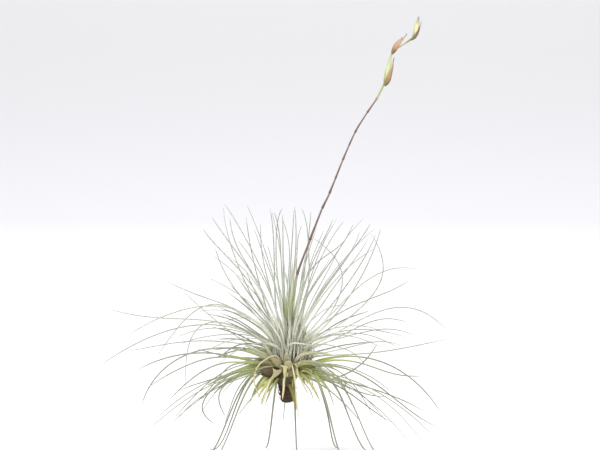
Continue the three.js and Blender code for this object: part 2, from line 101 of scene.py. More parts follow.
# How fast a blade's waves run to the side and up and down, radians along its whole length
SIDE_WAVES = 9.0
RISE_WAVES = 7.0

# The eye of the view: its place over the crown and how far in front of it, mm
EYE_ACROSS = 3.8
EYE_UP = 48.3
EYE_DISTANCE = 760.0
VIEW_BREADTH = 228.0
SENSOR_BREADTH = 36.0

# Leaves seen from the front, each by three points [across, up] from the crown, at a third, two
# thirds and the whole of its length
UPRIGHT_LEAVES = (
    ((-12, 17), (-20, 33), (-24.5, 55)),
    ((-10.5, 23), (-18.5, 37.5), (-23, 51)),
    ((-12, 25.5), (-22.5, 41.5), (-30, 51.5)),
    ((-14.5, 25.5), (-24.5, 37), (-33, 46.5)),
    ((-15, 16.5), (-23, 27.5), (-28.5, 39)),
    ((-8.5, 15), (-13.5, 34), (-16.5, 51.5)),
    ((-5.5, 16), (-9.5, 32.5), (-11.5, 49)),
    ((-5.5, 20), (-6, 37), (-7.5, 54.5)),
    ((-2.5, 20.5), (-3.5, 38), (-6, 53)),
    ((-4, 23.5), (-5.5, 42.5), (-2.5, 54.5)),
    ((-2, 20), (-2.5, 37), (-3, 52.5)),
    ((-1, 20), (-0.5, 35.5), (-2.5, 51)),
    ((-0.5, 20), (0.5, 37), (1.5, 54)),
    ((0.5, 20), (2, 39), (2, 55.5)),
    ((6.5, 23), (7.5, 39.5), (3.5, 54.5)),
    ((4, 21.5), (6.5, 39), (8, 53.5)),
    ((1.5, 20.5), (3, 38), (4, 48)),
    ((4, 20), (9.5, 36), (16, 50.5)),
    ((6, 20), (15.5, 34.5), (24, 48.5)),
    ((6, 27.5), (13.5, 36.5), (21.5, 43.5)),
    ((10.5, 20), (20, 33.5), (26.5, 46)),
    ((10.5, 21), (21.5, 36), (30.5, 48.5)),
    ((12, 18), (21.5, 31), (29.5, 44)),
    ((14.5, 16.5), (24.5, 30), (33, 44.5)),
    ((16.5, 13.5), (27.5, 29.5), (34.5, 47)),
    ((21.5, 12.5), (34, 26), (30.5, 45)),
    ((17, 17.5), (19, 32), (9, 43.5)),
)
ARCHING_LEAVES = (
    ((17.5, 16.5), (31, 28.5), (48, 31.5)),
    ((16.5, 13.5), (31, 20.5), (44.5, 27)),
    ((23, 10.5), (41.5, 17), (59.5, 8.5)),
    ((18.5, 6), (31.5, 11.5), (44.5, 12)),
    ((18.5, 5.5), (33, 8.5), (47, 6)),
    ((17.5, 1), (30, 3.5), (42, 2.5)),
    ((23.5, -0.5), (41.5, 1), (59.5, 5)),
    ((-17.5, 14.5), (-30.5, 20.5), (-46, 26)),
    ((-16.5, 3.5), (-28, 12), (-40.5, 23.5)),
    ((-21.5, 16.5), (-41.5, 16), (-61, 6.5)),
    ((-20, 15.5), (-34, 16.5), (-51, -1)),
    ((-24.5, 11), (-45.5, 13), (-68, 16)),
    ((-28, 10.5), (-51.5, 6.5), (-72.5, -5.5)),
    ((-23, 10.5), (-36, 8), (-39.5, -13)),
    ((-23.5, 4), (-42.5, 3.5), (-61, 1)),
)
SPREADING_LEAVES = (
    ((25.5, -1.5), (44, -8.5), (57.5, -23)),
    ((21, -3), (35.5, -6.5), (50.5, -9.5)),
    ((24, -7), (40.5, -18), (56, -28.5)),
    ((20.5, -11), (35.5, -15), (50.5, -22.5)),
    ((14.5, -10), (25.5, -14.5), (36.5, -16.5)),
    ((15, -11), (26.5, -18.5), (38, -26)),
    ((13.5, -10.5), (24.5, -6.5), (33.5, 3.5)),
    ((-23.5, -1), (-40.5, -0.5), (-57, -6.5)),
    ((-26, 2), (-45, -4), (-56, -20)),
    ((-22, -2), (-38, -4), (-54, -13.5)),
    ((-21, -3.5), (-33, -7), (-45.5, -18)),
    ((-18, -4), (-26, -8), (-37, -20)),
    ((-19, -7), (-31, -10.5), (-42, -15)),
    ((-20, -8.5), (-32, -16.5), (-28.5, -27.5)),
    ((-18, -8.5), (-26, -15), (-25, -24.5)),
)

# Withered leaves below the rosette, by points [across, behind, up] from the crown
DRY_LEAVES = (
    ((-2.4, -6.6, -9.8), (-2.6, -8.4, -6.2), (-4.3, -9.6, -1.6), (-6.7, -10.6, -0.8),
     (-9.2, -11.4, -2.1), (-11.6, -12.2, -4), (-13, -12.8, -6.7), (-13.4, -13.1, -10),
     (-12.3, -13.3, -13.9), (-10.4, -13.5, -17.4)),
    ((-2.9, -6.2, -10.6), (-3.6, -7.8, -8.6), (-5.1, -9, -6.9), (-6.9, -9.8, -9.1), (-8.3, -10.4, -12),
     (-10.4, -11.2, -19)),
    ((-1.2, -6.4, -10.4), (-1.6, -8.2, -7.4), (-1.8, -9.2, -5.5), (-2.1, -9.8, -8.8),
     (-2.5, -10.2, -13.9), (-2.6, -10.4, -17.1)),
    ((-0.2, -6.4, -10.4), (-1.2, -9.2, -6), (-1.5, -10.2, -3.3), (0.1, -10.8, -2.8), (1, -11.2, -4.6),
     (1.9, -11.8, -9.7), (2.4, -12.2, -15.2), (3.6, -12.8, -24.7)),
    ((2.2, -5.8, -10.6), (2.2, -7.6, -8), (2.6, -8.8, -5.6), (3, -9.4, -7.9), (4.3, -9.9, -10.1),
     (6.6, -10.6, -14.7)),
    ((5, 4.5, -10.8), (9, 7, -10), (14, 10, -14), (17, 13, -22)),
    ((-4.5, 5, -10.8), (-8, 8.5, -9.5), (-12, 12, -13), (-16, 15, -21)),
)

# Small fresh leaves that hug the foot of the spike, by points [across, behind, up] at a third, two
# thirds and the whole of their length
BRACT_LEAVES = (
    ((-1.6, -2.3, 16.5), (-2.4, -2.8, 23.5), (-3.2, -2.8, 30.5)),
    ((0.2, -2.8, 17.5), (0.6, -3, 23.5), (1.4, -2.8, 28.5)),
    ((2.3, -2, 17), (3.4, -2.6, 22), (4.7, -2.8, 26)),
    ((2.8, 1.6, 18), (4.8, 2.6, 26), (6.4, 3.2, 32)),
    ((0.3, 2.7, 18), (0.6, 3.2, 27), (1, 3.2, 34)),
    ((-2.2, 1.8, 18), (-2.3, 2.4, 27), (-1.8, 2.6, 35.5)),
    ((-2.9, -0.4, 16.5), (-4, -0.6, 23), (-4.6, -0.4, 29)),
)

# The stalk and its green zigzag top, by points [across, behind, up] from the crown
STALK_POINTS = (
    (0, 0, 9.7), (0.4, 0, 18), (1.6, 0, 24), (3.2, 0.2, 31), (7.6, 0.8, 42.6), (12.2, 1.4, 54.5),
    (15, 1.8, 60.3), (20.1, 2.4, 73), (24.8, 3, 83.6), (29.4, 3.4, 91.1), (33, 3.7, 96.4),
    (36, 3.9, 102.2),
)
RACHIS_POINTS = (
    (36, 3.9, 102.2), (36.2, 4.8, 104), (37, 5.6, 107), (38, 5.6, 111), (39, 5.6, 113.8),
    (40.4, 5.6, 115.4), (42.3, 5.2, 116.6), (45.4, 4.4, 118.7), (46.2, 4.2, 119.3),
)


def between(low: float, high: float, share: float) -> float:
    """The value at a share of the way from low to high."""
    return low + (high - low) * share


def clamp(value: float) -> float:
    """The value kept between 0 and 1."""
    return max(0.0, min(1.0, value))


def value_at(stations: Stations, share: float) -> float:
    """Reads a value off a list of stations, straight between them.

    Args:
        stations: Pairs of a place along the length, 0 to 1, and the value there.
        share: The place to read at.

    Returns:
        The value there.
    """
    for (low_at, low), (high_at, high) in zip(stations, stations[1:]):
        if share <= high_at:
            return between(low, high, clamp((share - low_at) / (high_at - low_at)))
    return stations[-1][1]


def compass(degrees: float) -> Vector:
    """The level direction at an angle from the plant's right, counted towards its back."""
    return Vector((math.cos(math.radians(degrees)), math.sin(math.radians(degrees)), 0.0))


def crosswise(outward: Vector) -> Vector:
    """The level direction square to one that points outward."""
    return Vector((-outward.y, outward.x, 0.0))


def cubic_weights(t: float) -> tuple[float, float, float, float]:
    """How much each of four even points counts on the cubic through them.

    Args:
        t: The place on the cubic, which meets the points at 0, 1, 2 and 3.

    Returns:
        The weight of each point.
    """
    return (
        -(t - 1) * (t - 2) * (t - 3) / 6,
        t * (t - 2) * (t - 3) / 2,
        -t * (t - 1) * (t - 3) / 2,
        t * (t - 1) * (t - 2) / 6,
    )


def cubic_through(points: Sequence[Vector]) -> Path:
    """A path through four points.

    Args:
        points: The points, met at 0, 1/3, 2/3 and 1 of its length.

    Returns:
        The path.
    """
    def path(share: float) -> Vector:
        """The point at a share of the path."""
        weighted = zip(points, cubic_weights(share * 3))
        return sum((corner * weight for corner, weight in weighted), Vector())
    return path


def smooth_through(points: Sequence[Point | Vector]) -> Path:
    """A smooth path at even speed through any number of points.

    Args:
        points: The points, at least two.

    Returns:
        The path, from the first point at 0 to the last at 1.
    """
    corners = [Vector(point) for point in points]
    ends = [corners[0] * 2 - corners[1], *corners, corners[-1] * 2 - corners[-2]]
    fine: list[Vector] = []
    for before, start, stop, after in zip(ends, ends[1:], ends[2:], ends[3:]):
        for k in range(CURVE_STEPS):
            t = k / CURVE_STEPS
            fine.append(0.5 * (
                2 * start + (stop - before) * t
                + (2 * before - 5 * start + 4 * stop - after) * t * t
                + (3 * start - before - 3 * stop + after) * t ** 3
            ))
    fine.append(corners[-1])
    reached = [0.0]
    for here, ahead in zip(fine, fine[1:]):
        reached.append(reached[-1] + (ahead - here).length)
    places = np.array(reached) / reached[-1]
    table = np.array([tuple(point) for point in fine])

    def path(share: float) -> Vector:
        """The point at a share of the path."""
        return Vector([float(np.interp(share, places, table[:, axis])) for axis in range(3)])
    return path


def seen_from_front(across: float, up: float, depth: float) -> Vector:
    """Where a point lies that is seen at a place in the view.

    Args:
        across: The place seen, from the crown to the right.
        up: The place seen, from the crown upward.
        depth: How far behind the crown the point lies.

    Returns:
        The point.
    """
    growth = 1 + depth / EYE_DISTANCE
    return Vector((
        EYE_ACROSS + (across - EYE_ACROSS) * growth,
        depth,
        EYE_UP + (up - EYE_UP) * growth,
    ))


def stalk_across(up: float) -> float:
    """How far across the stalk is at a height."""
    return value_at([(height, across) for across, _, height in STALK_POINTS], up)


class Draws:
    """Random draws with a fixed start, so that the plant is the same every time."""

    FACTOR = 16807
    RANGE = 2147483647

    def __init__(self, seed: int) -> None:
        """Starts the draws at a seed."""
        self.state = seed

    def __call__(self) -> float:
        """The next draw, from 0 to 1."""
        self.state = self.state * self.FACTOR % self.RANGE
        return self.state / self.RANGE

    def over(self, start: float, span: float) -> float:
        """The next draw, from a start over a span."""
        return start + span * self()

    def around(self, spread: float) -> float:
        """The next draw, to either side of nought, over a spread in all."""
        return spread * (self() - 0.5)


@dataclass(frozen=True)
class Whorl:
    """A storey of the rosette, which leaves grow from.

    The steeper a leaf climbs, in degrees, the higher its root lies in the storey.
    """

    bottom: float
    top: float
    radius: float
    roots: Pair
    climb: Pair

    def root_height(self, climb: float) -> float:
        """The height over the crown of the root of a leaf that climbs so many degrees."""
        share = (climb - self.climb[0]) / (self.climb[1] - self.climb[0])
        return between(self.roots[0], self.roots[1], clamp(share))


SILVER_WHORL = Whorl(-3.5, 9.2, 6.2, roots=(-2.4, 6.4), climb=(-10, 85))
GREEN_WHORL = Whorl(-9.1, -3.8, 4.8, roots=(-8, -4.9), climb=(-45, 15))


@dataclass(frozen=True)
class Sector:
    """Leaves that share a sector round the stem: how many, its limits, their rise and length."""

    count: int
    start: float
    end: float
    rise: Pair
    length: float


SILVER_FILL = (
    Sector(3, 222, 256, (70, 44), 56),
    Sector(3, 286, 320, (70, 44), 56),
    Sector(5, 225, 315, (46, 14), 62),
    Sector(3, 220, 246, (26, -20), 58),
    Sector(3, 294, 320, (26, -20), 58),
    Sector(3, 55, 125, (78, 56), 50),
    Sector(7, 42, 138, (55, 20), 62),
    Sector(8, 38, 142, (30, -12), 62),
)
GREEN_FILL = (
    Sector(8, 40, 140, (8, -34), 60),
    Sector(5, 48, 132, (-18, -38), 44),
    Sector(3, 218, 242, (18, -56), 50),
    Sector(3, 292, 312, (18, -56), 50),
    Sector(4, 196, 226, (2, -40), 56),
    Sector(4, 312, 340, (2, -40), 56),
)
# The carrying leaves, each by the direction and the distance of its tip, and how they hang, by
# shares of that distance and of the height of the crown
BEARING_LEAVES = (
    (310, 34), (336, 41), (14, 33), (56, 36), (82, 20), (108, 32), (146, 38), (190, 34), (220, 37),
)
HANGING_CURVE = ((0.52, 0.3), (0.76, 0.76), (1, 1))


@dataclass
class Leaf:
    """A leaf by the four points of its path, the way it faces and the way it may sway."""

    points: list[Vector]
    outward: Vector
    sway: Vector

    @classmethod
    def on(cls, whorl: Whorl, stations: Sequence[Vector], sway: Vector) -> "Leaf":
        """Roots a leaf on a whorl.

        Args:
            whorl: The storey it grows from.
            stations: Its points at a third, two thirds and the whole of its length.
            sway: The direction that it may be bent in to pass other leaves.

        Returns:
            The leaf.
        """
        flat = Vector((stations[0].x, stations[0].y, 0.0))
        outward = flat.normalized()
        climb = math.degrees(math.atan2(stations[0].z, flat.length))
        root = outward * LEAF_ROOT_RADIUS
        root.z = whorl.root_height(climb)
        return cls([root, *stations], outward, sway)

    def swayed(self, shift: float) -> "Leaf":
        """The leaf with its tip moved so far to the side, and the rest in proportion."""
        points = [point + self.sway * (shift * i / 3) for i, point in enumerate(self.points)]
        return Leaf(points, self.outward, self.sway)

    def climb(self) -> float:
        """The angle over the level, in degrees, that the leaf's first third climbs at."""
        rise = self.points[1] - self.points[0]
        return math.degrees(math.atan2(rise.z, math.hypot(rise.x, rise.y)))

    def samples(self, count: int = LEAF_SAMPLES) -> np.ndarray:
        """Points along the leaf, so many in all, but for the bulb that hides its root."""
        path = cubic_through(self.points)
        return np.array([tuple(path(i / count)) for i in range(2, count + 1)])


class Rosette:
    """Lays out every leaf of the plant by the same rules as its solids."""

    def __init__(self) -> None:
        """Grows the leaves of both whorls and clears them of one another."""
        draw = Draws(GROWTH_SEED)
        silver = [
            *self.seen(SILVER_WHORL, UPRIGHT_LEAVES, draw),
            *self.seen(SILVER_WHORL, ARCHING_LEAVES, draw),
            *self.fill(SILVER_WHORL, SILVER_FILL, draw),
        ]
        green = [
            *self.seen(GREEN_WHORL, SPREADING_LEAVES, draw),
            *self.fill(GREEN_WHORL, GREEN_FILL, draw),
        ]
        bearing = [self.bearing(toward, reach) for toward, reach in BEARING_LEAVES]
        taken = [self.straight_samples(points) for points in (STALK_POINTS, *BRACT_LEAVES)]
        self.silver = [self.clear(leaf, taken) for leaf in silver]
        taken += [leaf.samples(2 * LEAF_SAMPLES) for leaf in self.silver]
        taken += [self.straight_samples(points) for points in DRY_LEAVES]
        self.green = [self.clear(leaf, taken) for leaf in [*bearing, *green]]
        for leaf in self.green[:len(bearing)]:
            leaf.points[3].z -= TIP_LIFT - TIP_REST

    @staticmethod
    def straight_samples(points: Sequence[Point]) -> np.ndarray:
        """Samples the straight lines from each given point to the next.

        Args:
            points: The given points.

        Returns:
            Points along the lines, and the last given point.
        """
        ends = np.array(points, float)
        shares = np.arange(LINE_SAMPLES) / LINE_SAMPLES
        lines = [start + (stop - start) * shares[:, None] for start, stop in zip(ends, ends[1:])]
        return np.concatenate([*lines, ends[-1:]])

    @staticmethod
    def seen(whorl: Whorl, leaves: Iterable[FrontView], draw: Draws) -> list[Leaf]:
        """Leaves known from the front: what each lacks in reach across it may have in depth.

        Args:
            whorl: The storey they grow from.
            leaves: The points of each, as seen from the front.
            draw: Gives the random draws.

        Returns:
            The leaves. One that comes near the stalk in the view lies behind it, and the others lie
            behind and in front by turns.
        """
        grown = []
        for i, stations in enumerate(leaves):
            across, up = stations[2]
            hidden = math.sqrt(max(LEAST_DEPTH ** 2, LEAF_REACH ** 2 - across ** 2 - up ** 2))
            near_stalk = any(abs(x - stalk_across(z)) < STALK_ROOM for x, z in stations)
            side = 1 if near_stalk or i % 2 == 0 else -1
            depth = side * hidden * between(*DEPTH_SHARES, draw())
            points = [seen_from_front(x, z, depth * ((k + 1) / 3)) for k, (x, z) in enumerate(stations)]
            grown.append(Leaf.on(whorl, points, Vector((0, 1, 0))))
        return grown

    @staticmethod
    def fill(whorl: Whorl, sectors: Iterable[Sector], draw: Draws) -> list[Leaf]:
        """Leaves that fill the sectors, each with its climb changing evenly to its tip.

        Args:
            whorl: The storey they grow from.
            sectors: The sectors to fill.
            draw: Gives the random draws.

        Returns:
            The leaves.
        """
        grown = []
        for sector in sectors:
            step = (sector.end - sector.start) / sector.count
            for i in range(sector.count):
                outward = compass(sector.start + step * draw.over(i + SLOT_START, SLOT_SPAN))
                shift = draw.around(CLIMB_SPREAD)
                rise = [angle + shift for angle in sector.rise]
                length = sector.length * draw.over(*FILL_LENGTHS)
                grown.append(Rosette.rising(whorl, outward, rise, length))
        return grown

    @staticmethod
    def rising(whorl: Whorl, outward: Vector, rise: Sequence[float], length: float) -> Leaf:
        """A leaf whose climb changes evenly from root to tip.

        Args:
            whorl: The storey it grows from.
            outward: The level direction that it grows in.
            rise: Its climb at the root and at the tip, in degrees.
            length: Its length.

        Returns:
            The leaf.
        """
        start, end = (math.radians(angle) for angle in rise)
        stations = []
        for share in (1 / 3, 2 / 3, 1):
            here = between(start, end, share)
            out = length * (math.sin(here) - math.sin(start)) / (end - start)
            up = -length * (math.cos(here) - math.cos(start)) / (end - start)
            point = outward * (LEAF_ROOT_RADIUS + out)
            point.z = up + whorl.root_height(rise[0])
            stations.append(point)
        return Leaf.on(whorl, stations, crosswise(outward))

    @staticmethod
    def bearing(toward: float, reach: float) -> Leaf:
        """A leaf that hangs over and lies along the surface at its tip.

        Args:
            toward: The direction of its tip, in degrees.
            reach: The distance of its tip from the crown's axis.

        Returns:
            The leaf.
        """
        outward = compass(toward)
        stations = []
        for out, down in HANGING_CURVE:
            point = outward * (reach * out)
            point.z = (TIP_LIFT - CROWN_HEIGHT) * down
            stations.append(point)
        return Leaf.on(GREEN_WHORL, stations, crosswise(outward))

    @staticmethod
    def clear(leaf: Leaf, taken: Sequence[np.ndarray]) -> Leaf:
        """Sways a leaf to and fro, further each time, until it is clear of what is there.

        Args:
            leaf: The leaf.
            taken: Samples of what is there.

        Returns:
            The leaf as it is clear, or as it was where no sway clears it.
        """
        others = np.concatenate(taken)
        for step in range(SWAY_TRIES):
            shift = (-1 if step % 2 else 1) * math.ceil(step / 2) * SWAY_STEP
            moved = leaf.swayed(shift)
            apart = moved.samples()[:, None, :] - others[None, :, :]
            if np.min(np.sum(apart * apart, axis=2)) > LEAF_ROOM ** 2:
                return moved
        return leaf


@dataclass(frozen=True)
class Section:
    """A blade's section along its length, by stations in millimetres.

    Keel is how far the underside bows below the margins, and thick is measured at the middle, so
    that a keel deeper than the thickness leaves a channel above. Seat lifts the blade off its path,
    as a share of the keel.
    """

    width: Stations
    keel: Stations
    thick: Stations
    sides: int = 12
    steps: int = 44
    seat: float = 0.0

    def scaled(self, size: float) -> "Section":
        """Gives the section in another size.

        Args:
            size: How much larger every measure is.

        Returns:
            The section in that size.
        """
        width, keel, thick = (
            tuple((at, value * size) for at, value in stations)
            for stations in (self.width, self.keel, self.thick)
        )
        return Section(width, keel, thick, self.sides, self.steps, self.seat)

    def outline(self, share: float, middle: Vector, right: Vector, top: Vector) -> list[Vector]:
        """Gives the section's outline, from the right margin over the top.

        Args:
            share: The share of the blade's length that it is taken at.
            middle: The middle of the blade there.
            right: The direction of its right margin.
            top: The direction of its upper side.

        Returns:
            The points of the outline.
        """
        half = value_at(self.width, share) / 2
        keel = value_at(self.keel, share)
        rise = value_at(self.thick, share) - keel
        points = []
        for j in range(self.sides):
            angle = 2 * math.pi * j / self.sides
            lift = (rise if math.sin(angle) > 0 else keel) * math.sin(angle)
            lift += keel * self.seat
            points.append(middle + right * (half * math.cos(angle)) + top * lift)
        return points


@dataclass(frozen=True)
class Look:
    """How one blade differs from the next.

    Tone varies its brightness and tint its greenness, both from 0 to 1. Twist is how far it turns
    about its own length by its tip, in radians, wave how far it strays from side to side, in
    millimetres, and phase where its waves start. Start and end are the shares of a whole leaf's
    colours that it begins and ends with.
    """

    tone: float = 0.5
    tint: float = 0.0
    twist: float = 0.0
    wave: float = 0.0
    phase: float = 0.0
    start: float = 0.0
    end: float = 1.0


@dataclass(frozen=True)
class Variety:
    """How the leaves of a piece differ: tones from a start over a span, and the twist and wave."""

    tones: Pair
    twist: float
    wave: float

    def look(self, draw: Draws, tint: float | None = None, start: float = 0.0) -> Look:
        """Draws how one leaf looks.

        Args:
            draw: Gives the random draws.
            tint: How green it is, or None where that is drawn as well.
            start: The share of a whole leaf's colours that it begins with.

        Returns:
            The look.
        """
        return Look(
            tone=draw.over(*self.tones),
            tint=draw() if tint is None else tint,
            twist=draw.around(self.twist),
            wave=self.wave * draw(),
            phase=PHASES * draw(),
            start=start,
        )


@dataclass(frozen=True)
class Stance:
    """A place on a path, the two ways square to the path there, and the distance gone."""

    share: float
    point: Vector
    across: Vector
    upward: Vector
    gone: float


def walk(path: Path, across: Vector, steps: int, reach: float) -> list[Stance]:
    """Walks a path in even steps, turning no more about it than it bends.

    Args:
        path: The path.
        across: The way across it at its start.
        steps: The number of steps.
        reach: The share of its length, ahead and behind, that its direction is read over.

    Returns:
        Every place on the way, from the start to the end.
    """
    stances = []
    gone = 0.0
    before = path(0.0)
    for i in range(steps + 1):
        share = i / steps
        point = path(share)
        gone += (point - before).length
        before = point
        ahead = (path(clamp(share + reach)) - path(clamp(share - reach))).normalized()
        across = (across - ahead * across.dot(ahead)).normalized()
        stances.append(Stance(share, point, across, ahead.cross(across), gone))
    return stances


@dataclass
class Sketch:
    """A mesh being drawn, with what its finish needs to know of each point."""

    name: str
    corners: list[Vector] = field(default_factory=list)
    faces: list[tuple[int, ...]] = field(default_factory=list)
    wraps: list[tuple[tuple[float, float], ...]] = field(default_factory=list)
    along: list[float] = field(default_factory=list)
    across: list[float] = field(default_factory=list)
    upper: list[float] = field(default_factory=list)
    tone: list[float] = field(default_factory=list)
    tint: list[float] = field(default_factory=list)

    def ring(self, points: Sequence[Vector], share: float, look: Look) -> list[int]:
        """Adds a ring of points.

        Args:
            points: The points, from the right margin over the top.
            share: The ring's share of the length.
            look: What sets its blade apart from the others.

        Returns:
            The places of the points in the mesh.
        """
        first = len(self.corners)
        count = len(points)
        for j, point in enumerate(points):
            angle = 2 * math.pi * j / count
            self.corners.append(point)
            self.along.append(between(look.start, look.end, share))
            self.across.append(math.cos(angle))
            self.upper.append(math.sin(angle))
            self.tone.append(look.tone)
            self.tint.append(look.tint)
        return list(range(first, first + count))

    def skin(self, rings: Sequence[list[int]], girth: float, length: float) -> None:
        """Covers rings of points with faces and closes both ends.

        Args:
            rings: The rings, from root to tip.
            girth: The distance round, in millimetres, that the wrap's first coordinate spans.
            length: The distance along, in millimetres, that its second coordinate spans.
        """
        count = len(rings[0])
        for i, (low, high) in enumerate(zip(rings, rings[1:])):
            v_low, v_high = (length * k / (len(rings) - 1) for k in (i, i + 1))
            for j in range(count):
                k = (j + 1) % count
                u_here, u_next = girth * j / count, girth * (j + 1) / count
                self.faces.append((low[j], low[k], high[k], high[j]))
                self.wraps.append(((u_here, v_low), (u_next, v_low), (u_next, v_high), (u_here, v_high)))
        for cap, height in ((rings[0][::-1], 0.0), (rings[-1], length)):
            self.faces.append(tuple(cap))
            self.wraps.append(tuple((0.0, height) for _ in cap))

    def build(self, place: Callable[[Vector], Vector], material: bpy.types.Material) -> bpy.types.Object:
        """Makes the Blender object.

        Args:
            place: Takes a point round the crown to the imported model's frame.
            material: The finish that covers it.

        Returns:
            The object, linked to the scene.
        """
        mesh = bpy.data.meshes.new(self.name)
        mesh.from_pydata([place(corner) for corner in self.corners], [], self.faces)
        for name in ("along", "across", "upper", "tone", "tint"):
            layer = mesh.attributes.new(name, "FLOAT", "POINT")
            layer.data.foreach_set("value", np.array(getattr(self, name), np.float32))
        wrap = mesh.uv_layers.new(name="wrap")
        flat = [value for face in self.wraps for pair in face for value in pair]
        wrap.data.foreach_set("uv", np.array(flat, np.float32))
        mesh.shade_smooth()
        mesh.materials.append(material)
        made = bpy.data.objects.new(self.name, mesh)
        bpy.context.scene.collection.objects.link(made)
        return made

    def blade(self, path: Path, sideways: Vector, section: Section, look: Look) -> None:
        """Draws a leaf blade along a path.

        Args:
            path: The path of its middle, from root to tip.
            sideways: The direction across it at its root.
            section: Its section along the length.
            look: What sets it apart from the others.
        """
        stances = walk(path, sideways.normalized(), section.steps, reach=0.01)
        rings = []
        for stance in stances:
            share = stance.share
            turn = look.twist * share * share
            right = stance.across * math.cos(turn) + stance.upward * math.sin(turn)
            top = stance.upward * math.cos(turn) - stance.across * math.sin(turn)
            stray = look.wave * share * math.sin(look.phase + SIDE_WAVES * share)
            bob = look.wave * share * math.sin(2 * look.phase + RISE_WAVES * share)
            middle = stance.point + stance.across * stray + stance.upward * bob
            rings.append(self.ring(section.outline(share, middle, right, top), share, look))
        self.skin(rings, girth=2.0, length=stances[-1].gone)

    def tube(self, path: Path, radius_at: Callable[[float], float], sides: int, steps: int,
             look: Look = Look(), lobes: float = 0.0) -> None:
        """Draws a round stalk along a path.

        Args:
            path: The path of its middle.
            radius_at: Gives its radius for a share of its length.
            sides: The number of points round it.
            steps: The number of steps along it.
            look: What sets it apart from the others.
            lobes: How far three lobes swell out of it, as a share of its radius.
        """
        stances = walk(path, Vector((0, 1, 0)), steps, reach=0.005)
        rings = []
        for stance in stances:
            radius = radius_at(stance.share)
            ring = []
            for j in range(sides):
                angle = 2 * math.pi * j / sides
                reach = radius * (1 + lobes * math.cos(3 * angle))
                outward = stance.across * math.cos(angle) + stance.upward * math.sin(angle)
                ring.append(stance.point + outward * reach)
            rings.append(self.ring(ring, stance.share, look))
        self.skin(rings, girth=3.0, length=stances[-1].gone)


